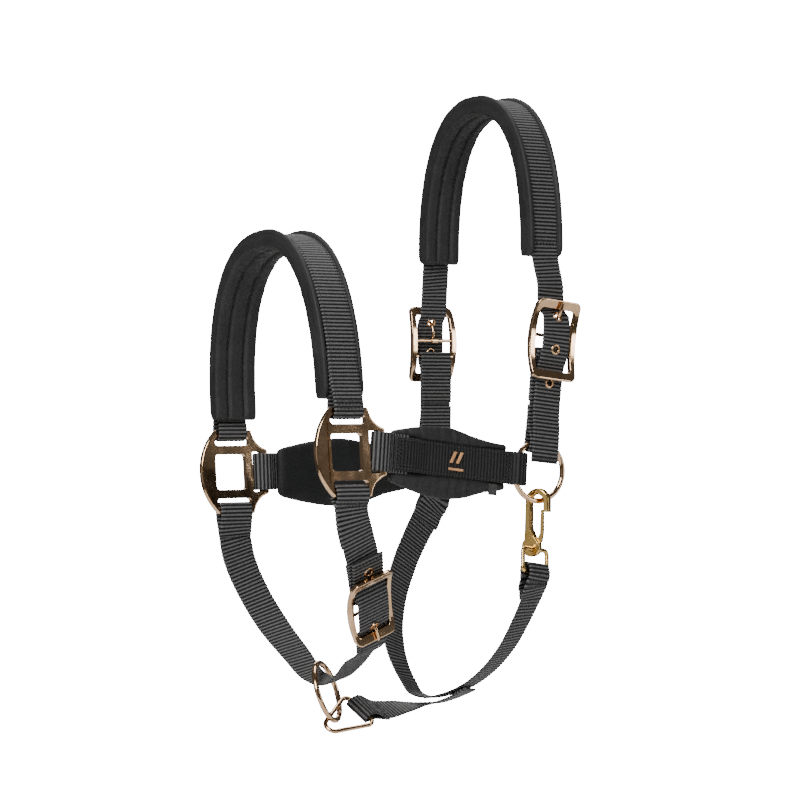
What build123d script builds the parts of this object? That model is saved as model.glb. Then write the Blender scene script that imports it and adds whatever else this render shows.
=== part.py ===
"""Webbing headcollar in the shape it has when worn, in millimetres.

+X runs from the nose back to the ears, +Y to the far side, +Z up. The origin is the crown seat: the middle
of the inner face of the crown pad, which rests behind the horse's ears. "Near" is the -Y side.
"""
from build123d import *
import os
from math import cos, radians, sin, sqrt

os.makedirs("parts", exist_ok=True)

# Webbing and padding
PLY = 2.0
DOUBLE = 4.2
WEB = 25.0
WIDE_WEB = 29.0
CHIN_WEB = 28.0
PAD_SKIN = 1.0
NOSE_PAD_WIDTH = 38.0
CROWN_PAD_WIDTH = 34.5
ARCH_POWER = 2.4

# Noseband arch, in a frame rolled about X because the far side hangs lower
NOSE_ROLL = 6.1
NOSE_CENTRE = Vector(-186, 0, -273.5)
NOSE_HALF = 88.0
NOSE_FOOT = 37.0
NOSE_RISE = 136.0

# Crown arch
CROWN_HALF = 76.0
CROWN_FOOT = -115.0
CROWN_RISE = 127.0

# Cast side squares: u runs rearward, v up
SQUARE_ACROSS = 87.0
SQUARE_THICK = 5.0
SQUARE_TOP = 33.0
SQUARE_BAR = 5.7
REAR_BAR_U = 28.75

# Round rings
RING_RADIUS = 22.8
RING_WIRE = 2.2
NEAR_RING = Vector(-9, -79.7, -281)
FAR_RING = Vector(2, 79.7, -281)

# Buckles: u across, v along the strap, n outward
BUCKLE_HALF_WIDTH = 22.0
BUCKLE_HALF_LENGTH = 31.0
WINDOW_HALF_WIDTH = 16.5
WINDOW_HALF_LENGTH = 24.0
BUCKLE_CORNER = 6.0
FRAME_THICK = 4.4
FRAME_SAG = 6.0
PIN_RADIUS = 1.4
PIN_V = 3.0
STRAP_BAR_V = -10.0
EYE_RADIUS = 3.7
EYELET_BORE = 2.4
EYELET_BARREL = 3.05
EYELET_FLANGE = 4.1
STRAP_N = -3.0
NEAR_BUCKLE = Vector(2, -82, -180)
FAR_BUCKLE = Vector(2, 82, -180)
NOSE_BUCKLE = Vector(-158, -71, -378)
NOSE_BUCKLE_SCALE = 0.9
TAIL_END = -95.0

# Throat snap, in the plane of its hook
HOOK_OUTER = 9.8
HOOK_INNER = 5.0
SNAP_THICK = 6.5
SLOT_WIDTH = 2.7
GATE_THICK = 2.2
GATE_PIVOT = (-6.5, -29.5)
GATE_PIN = 1.2
EYE_BORE = (-3.0, -37.5)
EYE_WIRE = 1.8
EYE_WIDTH = 29.4
EYE_HEIGHT = 17.5
EYE_PLAY = 1.9

# Chin ring and link
CHIN_RING = Vector(-147.4, 6, -450.5)
CHIN_RING_DOWN = Vector(0.273, -0.177, -0.946)
CHIN_RING_SIDE = Vector(0.726, 0.683, 0.081)
LINK_BASE = Vector(-119.5, 2, -465.4)
LINK_WIDTH_DIR = Vector(0.338, -0.735, -0.587)
LINK_TIP_DIR = Vector(-0.930, -0.164, -0.329)
LINK_LENGTH = 36.0
LINK_WIDTH = 31.0
LINK_TIP_RADIUS = 6.5
LINK_BASE_RADIUS = 4.5
LINK_WIRE = 1.8


# ---------------------------------------------------------------- frames

def profile_plane(face):
    """The plane across a strap: x is outward, y is along the strap."""
    return Plane(face.origin, x_dir=face.z_dir, z_dir=-face.x_dir)


def plan_plane(face):
    """The plane seen from the top of a face: x is the face's x, y is outward."""
    return Plane(face.origin, x_dir=face.x_dir, z_dir=-face.y_dir)


def place(face, u, v, n=0.0):
    """A point given in a face's own directions."""
    return face.origin + face.x_dir * u + face.y_dir * v + face.z_dir * n


NOSE_ACROSS = Vector(0, cos(radians(NOSE_ROLL)), -sin(radians(NOSE_ROLL)))
NOSE_PLANE = Plane(NOSE_CENTRE, x_dir=NOSE_ACROSS, z_dir=(1, 0, 0))
CROWN_PLANE = Plane.YZ
NEAR_SQUARE = Plane(NOSE_CENTRE - NOSE_ACROSS * SQUARE_ACROSS, x_dir=(1, 0, 0), z_dir=-NOSE_ACROSS)
FAR_SQUARE = Plane(NOSE_CENTRE + NOSE_ACROSS * SQUARE_ACROSS, x_dir=(-1, 0, 0), z_dir=NOSE_ACROSS)


def crown_buckle_plane(centre, ring, outward):
    """Face plane of a crown buckle, slanted towards its cheek ring."""
    along = Vector(centre.X - ring.X, 0, centre.Z - ring.Z).normalized()
    return Plane(centre, x_dir=along.cross(outward), z_dir=outward)


NEAR_CROWN_FACE = crown_buckle_plane(NEAR_BUCKLE, NEAR_RING, Vector(0, -1, 0))
FAR_CROWN_FACE = crown_buckle_plane(FAR_BUCKLE, FAR_RING, Vector(0, 1, 0))
CHIN_ALONG = Vector(0.315, 0.412, -0.855).normalized()
CHIN_ACROSS = Vector(-0.938, -0.002, -0.347)
NOSE_BUCKLE_FACE = Plane(NOSE_BUCKLE, x_dir=CHIN_ACROSS, z_dir=CHIN_ACROSS.cross(CHIN_ALONG))


def cheek_plane(square, ring, turn):
    """Face plane of a cheek piece: x along the strap, origin on the square's rear bar."""
    bar = place(square, REAR_BAR_U * turn, 0)
    along = (ring - bar).normalized() * turn
    upright = (square.y_dir + Vector(0, 0, 1)).normalized()
    up = upright - along * upright.dot(along)
    return Plane(bar, x_dir=along, z_dir=along.cross(up))


NEAR_CHEEK = cheek_plane(NEAR_SQUARE, NEAR_RING, 1)
FAR_CHEEK = cheek_plane(FAR_SQUARE, FAR_RING, -1)


# ---------------------------------------------------------------- shared helpers

def save(part, label):
    """Label a finished piece and write it."""
    part.label = label
    export_step(part, f"parts/{label}.step")


def arch_points(half, foot, rise, count=17):
    """Points of a superellipse arch."""
    points = []
    for step in range(count):
        angle = radians(180 * step / (count - 1))
        side = cos(angle)
        x = abs(side) ** (2 / ARCH_POWER) * half
        y = sin(angle) ** (2 / ARCH_POWER) * rise
        points.append((x if side >= 0 else -x, foot + max(y, 0.0)))
    return points


def strap_stations(stations):
    """Section planes along a strap route: (point, width direction) pairs."""
    points = [Vector(*point) for point, across in stations]
    planes = []
    for index, (point, across) in enumerate(stations):
        ahead = points[min(index + 1, len(points) - 1)]
        behind = points[max(index - 1, 0)]
        along = (ahead - behind).normalized()
        width = Vector(*across)
        width = (width - along * width.dot(along)).normalized()
        planes.append(Plane(points[index], x_dir=width, z_dir=along))
    return planes


def ribbon(planes, width, thick, gathered=None):
    """A flat strap lofted through its section planes; gathered maps a section to a smaller width."""
    gathered = gathered or {}
    with BuildPart() as band:
        for index, plane in enumerate(planes):
            with BuildSketch(plane):
                Rectangle(gathered.get(index, width), thick)
        loft()
    return band.part


def slot_loop(profile, centre, reach, half_gap, width):
    """A flattened loop of webbing round a bar; reach is the straight part of its hole."""
    with BuildPart() as loop:
        with BuildSketch(profile):
            with Locations(centre):
                SlotCenterToCenter(reach, 2 * (half_gap + PLY), rotation=90)
                SlotCenterToCenter(reach, 2 * half_gap, rotation=90, mode=Mode.SUBTRACT)
        extrude(amount=width / 2, both=True)
    return loop.part


# ---------------------------------------------------------------- metal parts

def square_outline(turn):
    """Outline of the cast square: crescent front, hollow rear corners, flat rear bar."""
    top, horn, rear = SQUARE_TOP, 18 * turn, 32 * turn
    ThreePointArc((-14 * turn, top), (-28.5 * turn, 0), (-14 * turn, -top))
    Line((-14 * turn, -top), (horn, -top))
    ThreePointArc((horn, -top), (22.4 * turn, -23.4), (rear, -17.5))
    Line((rear, -17.5), (rear, 17.5))
    ThreePointArc((rear, 17.5), (22.4 * turn, 23.4), (horn, top))
    Line((horn, top), (-14 * turn, top))


def square_casting(face, turn):
    """Cast side square with a window and three strap slots."""
    half = SQUARE_THICK / 2
    with BuildPart() as casting:
        with BuildSketch(face) as outline:
            with BuildLine():
                square_outline(turn)
            make_face()
            fillet(outline.vertices(), 1.6)
        extrude(amount=half, both=True)
        for side in (1, -1):
            rim = casting.faces().sort_by(Axis(face.origin, face.z_dir * side))[-1]
            fillet(rim.edges(), 1.5)
        with BuildSketch(face):
            with Locations((-2 * turn, 0)):
                RectangleRounded(27, 28, 3)
            with Locations((0, 24), (0, -24)):
                RectangleRounded(30.5, 6.6, 2.5)
            with Locations((21.5 * turn, 0)):
                RectangleRounded(8, 32, 1.5)
        extrude(amount=SQUARE_THICK, both=True, mode=Mode.SUBTRACT)
        with BuildSketch(face.offset(half)):
            with BuildLine():
                ThreePointArc((-17.4 * turn, 23), (-26 * turn, 0), (-17.4 * turn, -23))
                Line((-17.4 * turn, -23), (-17.4 * turn, 23))
            make_face()
        extrude(amount=-0.9, mode=Mode.SUBTRACT)
    return casting.part


def round_ring(centre, radial, axis, radius, wire):
    """A welded ring of round wire."""
    with BuildPart() as ring:
        with BuildSketch(Plane(centre, x_dir=radial, z_dir=radial.cross(axis))):
            with Locations((radius, 0)):
                Circle(wire)
        revolve(axis=Axis(centre, axis))
    return ring.part


def frame_outline(scale):
    """Buckle outline: flat ends and bowed rails."""
    wide, high, bow = BUCKLE_HALF_WIDTH * scale, BUCKLE_HALF_LENGTH * scale, 2.0
    Line((-wide + bow, high), (wide - bow, high))
    ThreePointArc((wide - bow, high), (wide, 0), (wide - bow, -high))
    Line((wide - bow, -high), (-wide + bow, -high))
    ThreePointArc((-wide + bow, -high), (-wide, 0), (-wide + bow, high))


def buckle_frame(face, scale=1.0):
    """Cast buckle frame, curved to the cheek, with its fixed strap bar."""
    profile = profile_plane(face)
    end = 34 * scale
    sag = FRAME_SAG * (34 / 28.5) ** 2
    with BuildPart() as frame:
        with BuildSketch(profile):
            with BuildLine():
                ThreePointArc((sag, end), (0, 0), (sag, -end))
            trace(line_width=FRAME_THICK * scale)
        extrude(amount=30, both=True)
        with BuildSketch(face) as outline:
            with BuildLine():
                frame_outline(scale)
            make_face()
            fillet(outline.vertices(), BUCKLE_CORNER * scale)
            RectangleRounded(2 * WINDOW_HALF_WIDTH * scale, 2 * WINDOW_HALF_LENGTH * scale, 3,
                             mode=Mode.SUBTRACT)
        extrude(amount=25, both=True, mode=Mode.INTERSECT)
        fillet(frame.edges(), 0.9)
        with BuildSketch(profile):
            with Locations((-0.3, STRAP_BAR_V * scale)):
                Circle(PIN_RADIUS)
        extrude(amount=WINDOW_HALF_WIDTH * scale + 1.5, both=True)
        with BuildSketch(profile):
            with Locations((0, PIN_V * scale)):
                Circle(PIN_RADIUS + 0.03)
        extrude(amount=19.1 * scale, both=True, mode=Mode.SUBTRACT)
    return frame.part


def tongue_bar(face, scale=1.0):
    """Loose pin that the tongue turns on."""
    with BuildPart() as bar:
        with BuildSketch(profile_plane(face)):
            with Locations((0, PIN_V * scale)):
                Circle(PIN_RADIUS)
        extrude(amount=19 * scale, both=True)
    return bar.part


def tongue(face, scale=1.0):
    """Bent rod tongue with a rolled eye round its bar."""
    profile = profile_plane(face)
    route = [(0.8, 5.0), (1.0, 11.5), (3.0, 15.8), (6.4, 19.0), (8.5, 22.8), (9.5, 26.5), (10.4, 29.5)]
    with BuildLine(profile) as path:
        Spline(*[(n, v * scale) for n, v in route])
    rod = path.edges()[0]
    with BuildPart() as tongue_part:
        with BuildSketch(Plane(rod @ 0, z_dir=rod % 0)):
            Circle(1.3)
        sweep(path=path.line)
        with BuildSketch(profile):
            with Locations((0, PIN_V * scale)):
                Circle(2.7)
        extrude(amount=2.6, both=True)
        with BuildSketch(profile):
            with Locations((0, PIN_V * scale)):
                Circle(PIN_RADIUS + 0.08)
        extrude(amount=4, both=True, mode=Mode.SUBTRACT)
    return tongue_part.part


def eyelet_planes(path, seats, profile):
    """Planes of the eyelets on a strap's middle line: z across the strap, x along its width."""
    planes = []
    for seat in seats:
        point = profile.from_local_coords(Vector(*seat, 0))
        along = path.tangent_at(path.param_at_point(point))
        across = profile.z_dir
        planes.append(Plane(point, x_dir=across, z_dir=across.cross(along)))
    return planes


def eyelet_group(planes):
    """Rolled brass eyelets, one solid each."""
    with BuildPart() as group:
        for plane in planes:
            section = Plane(plane.origin, x_dir=plane.x_dir, z_dir=plane.y_dir)
            with BuildSketch(section):
                with BuildLine():
                    bore, barrel, flange, half = EYELET_BORE, EYELET_BARREL, EYELET_FLANGE, PLY / 2 + 0.02
                    Line((bore, -1.1), (bore, 1.1))
                    ThreePointArc((bore, 1.1), (3.2, 1.7), (flange, half))
                    Polyline((flange, half), (barrel, half), (barrel, -half), (flange, -half))
                    ThreePointArc((flange, -half), (3.2, -1.5), (bore, -1.1))
                make_face()
            revolve(axis=Axis(plane.origin, plane.z_dir))
    return group.part


# ---------------------------------------------------------------- webbing arches

BILLET_POINTS = [(0.0, 31), (0.3, 27.5), (0.6, 24), (4.7, 18), (5.4, 11), (5.5, 3), (5.5, -7), (4.2, -14.5),
                 (1.9, -20), (0.95, -24.5), (0.95, -33), (0.95, -48), (1.4, -58), (3.0, -67), (4.0, -76),
                 (4.1, TAIL_END)]
CROWN_EYELETS = [(4.7, 18), (5.5, -7), (0.95, -33)]


def billet_line(face, points, scale=1.0):
    """Middle line of a strap that threads through a buckle."""
    with BuildLine(profile_plane(face)) as line:
        Spline(*[(n, v * scale) for n, v in points])
    return line.edges()[0]


def billet(face, points, width, scale=1.0):
    """Single ply of webbing through a buckle."""
    with BuildPart() as band:
        with BuildSketch(profile_plane(face)):
            with BuildLine():
                Spline(*[(n, v * scale) for n, v in points])
            trace(line_width=PLY)
        extrude(amount=width / 2, both=True)
    return band.part


def eyelet_punches(planes):
    """What the eyelets take out of a strap: the hole and the pressed rims."""
    with BuildPart() as punches:
        for plane in planes:
            with BuildSketch(plane):
                Circle(3.1)
            extrude(amount=PLY, both=True)
        add(eyelet_group(planes))
    return punches.part


def crown_webbing():
    """Crown strap: arch over the poll with a billet at each end."""
    crown_faces = ((NEAR_CROWN_FACE, -1), (FAR_CROWN_FACE, 1))
    with BuildPart() as strap:
        with BuildSketch(CROWN_PLANE):
            with BuildLine():
                Spline(*arch_points(CROWN_HALF, CROWN_FOOT, CROWN_RISE))
            trace(line_width=PLY)
        extrude(amount=WEB / 2, both=True)
        for face, side in crown_faces:
            top = place(face, 0, 31)
            hang = place(face, 0, 40, -0.8)
            stations = [((0, CROWN_HALF * side, CROWN_FOOT), (1, 0, 0)),
                        ((0.4, (CROWN_HALF + 0.9) * side, CROWN_FOOT - 10), (1, 0, 0)),
                        (hang, face.x_dir * -side), (top, face.x_dir * -side)]
            add(ribbon(crown_sections(stations, face), WEB, PLY))
            add(billet(face, BILLET_POINTS, WEB))
            planes = eyelet_planes(billet_line(face, BILLET_POINTS), CROWN_EYELETS, profile_plane(face))
            add(eyelet_punches(planes), mode=Mode.SUBTRACT)
    return strap.part


def crown_sections(stations, face):
    """Section planes of the free stretch above a crown buckle, square to both its ends."""
    planes = strap_stations([(tuple(point), tuple(across)) for point, across in stations])
    planes[0] = Plane(planes[0].origin, x_dir=planes[0].x_dir, z_dir=(0, 0, -1))
    across = planes[-1].x_dir - face.y_dir * planes[-1].x_dir.dot(face.y_dir)
    planes[-1] = Plane(planes[-1].origin, x_dir=across, z_dir=-face.y_dir)
    return planes


def nose_webbing():
    """Noseband strap: arch whose ends loop round the squares' top bars and are sewn back."""
    bar_across, bar_up, loop = SQUARE_ACROSS, SQUARE_TOP - SQUARE_BAR / 2, 5.0
    arch = arch_points(NOSE_HALF, NOSE_FOOT, NOSE_RISE, count=21)[2:-2]
    slant = loop / sqrt(2)
    right = [(bar_across - loop, bar_up + 6), (bar_across - loop, bar_up), (bar_across - slant, bar_up - slant),
             (bar_across, bar_up - loop), (bar_across + slant, bar_up - slant),
             (bar_across + loop, bar_up), (bar_across + loop - 0.5, bar_up + 8), (89.2, bar_up + 19)]
    left = [(-x, y) for x, y in reversed(right)]
    with BuildPart() as strap:
        with BuildSketch(NOSE_PLANE):
            with BuildLine():
                Spline(*(right + arch + left))
            trace(line_width=PLY)
            for side in (1, -1):
                with BuildLine():
                    Spline(((bar_across - loop) * side, bar_up + 5.5), (84.2 * side, bar_up + 13),
                           (86.1 * side, bar_up + 21), (86.1 * side, 60), (84.9 * side, 74))
                trace(line_width=PLY)
        extrude(amount=WEB / 2, both=True)
    return strap.part


def arch_pad(plane, half, foot, rise, thick, width, soften):
    """One arched bolster, given by its middle line."""
    with BuildPart() as pad:
        with BuildSketch(plane):
            with BuildLine():
                Spline(*arch_points(half, foot, rise))
            trace(line_width=thick)
        extrude(amount=width / 2, both=True)
        fillet(pad.edges(), soften)
    return pad.part


def covered_pad(make_pad, cover_name, foam_name):
    """Write a pad as a filling and the cover that is closed round it."""
    with BuildPart() as foam:
        add(make_pad(PAD_SKIN))
    with BuildPart() as cover:
        add(make_pad(0))
        add(foam.part, mode=Mode.SUBTRACT)
    save(foam.part, foam_name)
    save(cover.part, cover_name)


def nose_pad(inset):
    """Noseband pad: 9 mm of padding inside the webbing."""
    thick = 9.0
    gap = 4.6
    half = NOSE_HALF - gap - PLY / 2 - thick / 2
    rise = NOSE_RISE - PLY / 2 - 0.4 - thick / 2
    width = NOSE_PAD_WIDTH - 2 * inset
    return arch_pad(NOSE_PLANE, half, NOSE_FOOT + 3 + inset, rise - 3 - inset, thick - 2 * inset, width,
                    3.5 - inset)


def crown_pad(inset):
    """Crown pad: 10.6 mm of padding inside the webbing."""
    thick = 10.6
    half = CROWN_HALF - PLY / 2 - 0.5 - thick / 2
    rise = CROWN_RISE - PLY / 2 - 0.4 - thick / 2
    width = CROWN_PAD_WIDTH - 2 * inset
    return arch_pad(CROWN_PLANE, half, CROWN_FOOT + inset, rise - inset, thick - 2 * inset, width, 3.5 - inset)


# ---------------------------------------------------------------- cheek pieces

PAD_TOP = [(0, 17.5), (27, 23), (60, 25), (83, 19), (97, 16.8), (110, 16.5)]
PAD_BOTTOM = [(110, -15.5), (92, -18.6), (69, -26.5), (46, -29), (20, -25.3), (0, -20)]
LOOP_END = 24.0
WEBBING_START = 11.0
PAD_START = 10.0


def cheek_length(ring, face):
    """Distance from the square's rear bar to the front wire of the ring."""
    return (ring - face.origin).length - RING_RADIUS


def front_loop(face, turn):
    """Wide loop that ties the cheek to the square's rear bar."""
    half_gap, reach = 3.9, 6.2
    with BuildPart() as loop:
        with BuildSketch(plan_plane(face)):
            SlotCenterToCenter(reach, 2 * (half_gap + PLY))
            with Locations(((half_gap + LOOP_END) / 2 * turn, 0)):
                Rectangle(LOOP_END - half_gap, DOUBLE)
            SlotCenterToCenter(reach, 2 * half_gap, mode=Mode.SUBTRACT)
        extrude(amount=WIDE_WEB / 2, both=True)
    return loop.part


def cheek_webbing(face, ring, turn):
    """Cover strap sewn along the cheek pad, looped round the ring at its rear end."""
    end = cheek_length(ring, face)
    half_gap, reach, middle = 3.9, 4.6, end + 2.0
    lift = DOUBLE / 2 + PLY / 2 + 0.1
    path = [(WEBBING_START * turn, lift), ((LOOP_END + 4) * turn, lift), ((LOOP_END + 16) * turn, 0),
            ((end - 9) * turn, 0)]
    with BuildPart() as strap:
        with BuildSketch(plan_plane(face)):
            with BuildLine():
                FilletPolyline(*path, radius=12)
            trace(line_width=PLY)
            with Locations(((end - 10) * turn, 0)):
                Rectangle(12, DOUBLE)
            with Locations((middle * turn, 0)):
                SlotCenterToCenter(reach, 2 * (half_gap + PLY))
                SlotCenterToCenter(reach, 2 * half_gap, mode=Mode.SUBTRACT)
        extrude(amount=WEB / 2, both=True)
    return strap.part


def cheek_pad(face, ring, turn, inset):
    """Leaf-shaped cheek pad on the inner side of the cover strap."""
    scale = (cheek_length(ring, face) - 17) / 110
    front, thick, gap = PAD_START, 8.0, 2.4
    top = [((front + u * scale) * turn, v - inset) for u, v in PAD_TOP]
    bottom = [((front + u * scale) * turn, v + inset) for u, v in PAD_BOTTOM]
    shorten = inset * turn
    top[0], bottom[-1] = (top[0][0] + shorten, top[0][1]), (bottom[-1][0] + shorten, bottom[-1][1])
    top[-1], bottom[0] = (top[-1][0] - shorten, top[-1][1]), (bottom[0][0] - shorten, bottom[0][1])
    with BuildPart() as pad:
        with BuildSketch(face.offset(-gap - inset)):
            with BuildLine():
                Spline(*top)
                Line(top[-1], bottom[0])
                Spline(*bottom)
                Line(bottom[-1], top[0])
            make_face()
        extrude(amount=-(thick - 2 * inset))
        fillet(pad.edges(), 2.4 - inset)
    return pad.part


def blank_tag(face):
    """Small folded tag sewn into the lower seam of the near cheek pad."""
    with BuildPart() as tag:
        with BuildSketch(face.offset(-2.3)):
            with Locations((103, -21)):
                Rectangle(6, 8)
        extrude(amount=1.2)
    return tag.part


def cheek_motif(face):
    """Generic mark on the near cheek strap: two leaning bars over a plain line."""
    with BuildPart() as motif:
        with BuildSketch(face.offset(PLY / 2 + 0.05)):
            with Locations((66, 2.5), (72, 2.5)):
                Rectangle(3, 9, rotation=-25)
            with Locations((69, -6.5)):
                Rectangle(13, 1.6)
        extrude(amount=0.4)
    return motif.part


# ---------------------------------------------------------------- buckle straps

def crown_buckle_strap(face):
    """Wide doubled strap from a crown buckle's strap bar down round the cheek ring."""
    profile = profile_plane(face)
    loop_top, loop_bottom, half_gap, gathered = -76.5, -83.3, 2.7, 26.0
    loop_middle = (STRAP_N + 0.7, (loop_top + loop_bottom) / 2)
    with BuildPart() as strap:
        with BuildSketch(profile):
            with Locations((-0.3, STRAP_BAR_V)):
                Circle(EYE_RADIUS)
            with BuildLine():
                Spline((-2.1, STRAP_BAR_V - 1), (STRAP_N, -17), (STRAP_N, -40), (STRAP_N, loop_top + 4))
            trace(line_width=DOUBLE)
            with Locations((-0.3, STRAP_BAR_V)):
                Circle(PIN_RADIUS + 0.3, mode=Mode.SUBTRACT)
        extrude(amount=WIDE_WEB / 2, both=True)
        with BuildSketch(profile):
            with Locations(loop_middle):
                SlotCenterToCenter(loop_top - loop_bottom, 2 * half_gap, rotation=90)
        extrude(amount=WIDE_WEB, both=True, mode=Mode.SUBTRACT)
        add(slot_loop(profile, loop_middle, loop_top - loop_bottom, half_gap, gathered))
    return strap.part


def bottom_bar(square):
    """Middle of a square's bottom bar."""
    return place(square, 0, -SQUARE_TOP + SQUARE_BAR / 2)


def bottom_loop(square, width):
    """Webbing loop round a square's bottom bar."""
    profile = profile_plane(Plane(bottom_bar(square), x_dir=square.x_dir, z_dir=square.z_dir))
    return slot_loop(profile, (0, -1.2), 4.4, 3.5, width)


def nose_buckle_strap():
    """Doubled strap from the near square's bottom bar to the noseband buckle."""
    scale = NOSE_BUCKLE_SCALE
    face, profile = NOSE_BUCKLE_FACE, profile_plane(NOSE_BUCKLE_FACE)
    bar = bottom_bar(NEAR_SQUARE)
    start = bar - NEAR_SQUARE.y_dir * 7.5
    across = face.x_dir * -1
    stations = [(start, (1, 0, 0)), (start + Vector(2.2, 0.8, -8), (1, 0, 0.05)),
                (place(face, 0, -52, -4.4), across + Vector(0.3, 0, -0.1)),
                (place(face, 0, -39, STRAP_N - 0.5), across), (place(face, 0, -28, STRAP_N), across)]
    planes = strap_stations([(tuple(point), tuple(width)) for point, width in stations])
    last = planes[-1]
    planes[-1] = Plane(last.origin, x_dir=last.x_dir, z_dir=face.y_dir)
    with BuildPart() as strap:
        add(ribbon(planes, CHIN_WEB, DOUBLE))
        add(bottom_loop(NEAR_SQUARE, CHIN_WEB))
        with BuildSketch(profile):
            with Locations((-0.3, STRAP_BAR_V * scale)):
                Circle(EYE_RADIUS)
            with BuildLine():
                Spline((-2.1, STRAP_BAR_V * scale - 1), (STRAP_N, -17 * scale), (STRAP_N, -22), (STRAP_N, -28.5))
            trace(line_width=DOUBLE)
            with Locations((-0.3, STRAP_BAR_V * scale)):
                Circle(PIN_RADIUS + 0.3, mode=Mode.SUBTRACT)
        extrude(amount=CHIN_WEB / 2, both=True)
    return strap.part


# ---------------------------------------------------------------- chin and throat straps

CHIN_ROUTE = [(-185.5, 84.2, -330), (-180, 85, -352), (-171, 77, -379), (-163, 62, -402), (-156, 38, -424),
              (-152, 18, -439), (-149.8, 6, -442), (-148.5, -8, -440.5), (-148, -26, -431), (-148, -41, -420)]
CHIN_GATHERED = {5: 25.0, 6: 20.8, 7: 19.2, 8: 20.8, 9: 25.0}
CHIN_BILLET = [(0.0, 31), (0.2, 27.5), (0.4, 24), (4.6, 18), (5.3, 11), (5.4, 3), (5.4, -7), (4.1, -14.5),
               (1.9, -20), (0.95, -24.5), (1.25, -34), (1.3, -47)]
CHIN_EYELETS = [(4.6, 18), (1.25, -34)]


def chin_strap():
    """Chin strap: loop at the far square, under the jaw, and a billet through the noseband buckle."""
    face, scale = NOSE_BUCKLE_FACE, NOSE_BUCKLE_SCALE
    across = face.x_dir * -1
    start = bottom_bar(FAR_SQUARE) - FAR_SQUARE.y_dir * 7.5
    stations = [(tuple(start), (1, 0, 0))]
    for index, point in enumerate(CHIN_ROUTE):
        blend = index / len(CHIN_ROUTE)
        stations.append((point, tuple(Vector(1, 0, 0) * (1 - blend) + across * blend)))
    stations.append((tuple(place(face, 0, 40, -1.0)), tuple(across)))
    stations.append((tuple(place(face, 0, 31 * scale, 0)), tuple(across)))
    planes = strap_stations(stations)
    last = planes[-1]
    planes[-1] = Plane(last.origin, x_dir=last.x_dir, z_dir=face.y_dir * -1)
    with BuildPart() as strap:
        add(ribbon(planes, CHIN_WEB, PLY, CHIN_GATHERED))
        add(bottom_loop(FAR_SQUARE, CHIN_WEB))
        add(billet(face, CHIN_BILLET, CHIN_WEB, scale))
        add(eyelet_punches(chin_eyelet_planes()), mode=Mode.SUBTRACT)
    return strap.part


def chin_eyelet_planes():
    """Eyelets of the chin strap at its buckle."""
    scale = NOSE_BUCKLE_SCALE
    line = billet_line(NOSE_BUCKLE_FACE, CHIN_BILLET, scale)
    seats = [(n, v * scale) for n, v in CHIN_EYELETS]
    return eyelet_planes(line, seats, profile_plane(NOSE_BUCKLE_FACE))


SNAP_PLANE = Plane(NEAR_RING - Vector(0, 0, RING_RADIUS), x_dir=(0.5, -0.866, 0), z_dir=(-0.866, -0.5, 0))
EYE_ACROSS = Vector(0.956, 0.261, -0.14).normalized()
EYE_UP = Vector(0.10, 0.156, 0.983)
EYE_UP = (EYE_UP - EYE_ACROSS * EYE_UP.dot(EYE_ACROSS)).normalized()
EYE_TOP = place(SNAP_PLANE, *EYE_BORE)
EYE_BOTTOM = EYE_TOP - EYE_UP * EYE_HEIGHT

THROAT_NEAR = [(-12.6, -76, -378), (-15, -67.5, -394), (-19, -52, -418), (-25, -35, -437), (-33, -19, -450),
               (-43.5, -7, -457)]
THROAT_BOTTOM = (-55, 3, -460)
THROAT_FAR = [(-58.8, 16, -457.5), (-59.5, 28, -448), (-61, 39, -432.5), (-57, 53, -410.5), (-49, 62.5, -387.5),
              (-36, 70, -361), (-20, 75, -334), (-7, 77.5, -320)]
THROAT_WIDTH = {"near": (0.956, 0.261, -0.14), "bottom": (0.76, 0.64, -0.09), "far": (1, 0, 0)}


def throat_strap():
    """Throat strap: snap loop, under the throat, up to the far ring."""
    near, bottom, far = (Vector(*THROAT_WIDTH[key]) for key in ("near", "bottom", "far"))
    far_wire = FAR_RING - Vector(0, 0, RING_RADIUS)
    stations = [(tuple(EYE_BOTTOM - EYE_UP * 6.2), tuple(near))]
    for index, point in enumerate(THROAT_NEAR):
        blend = (index + 1) / (len(THROAT_NEAR) + 1)
        stations.append((point, tuple(near * (1 - blend) + bottom * blend)))
    stations.append((THROAT_BOTTOM, tuple(bottom)))
    for index, point in enumerate(THROAT_FAR):
        blend = (index + 1) / len(THROAT_FAR)
        stations.append((point, tuple(bottom * (1 - blend) + far * blend)))
    stations.append((tuple(far_wire + Vector(-0.5, 0, -9)), (1, 0, 0)))
    eye_profile = Plane(EYE_BOTTOM, x_dir=EYE_ACROSS.cross(EYE_UP), z_dir=EYE_ACROSS)
    ring_profile = Plane(far_wire, x_dir=(0, 1, 0), z_dir=(1, 0, 0))
    with BuildPart() as strap:
        add(ribbon(strap_stations(stations), WEB, PLY))
        add(slot_loop(eye_profile, (0, -0.8), 4.8, EYE_WIRE + EYE_PLAY, WEB - 0.6))
        add(slot_loop(ring_profile, (0, 0.6), 8.0, RING_WIRE + 0.6, WEB))
    return strap.part


CONNECT_ROUTE = [(-97, 7, -467.5), (-79, 7.5, -466.6), (-62, 4.0, -465.4), (-50, -3.5, -463.6),
                 (-41.5, -11.5, -459.6), (-33.5, -22, -452.9)]


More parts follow.
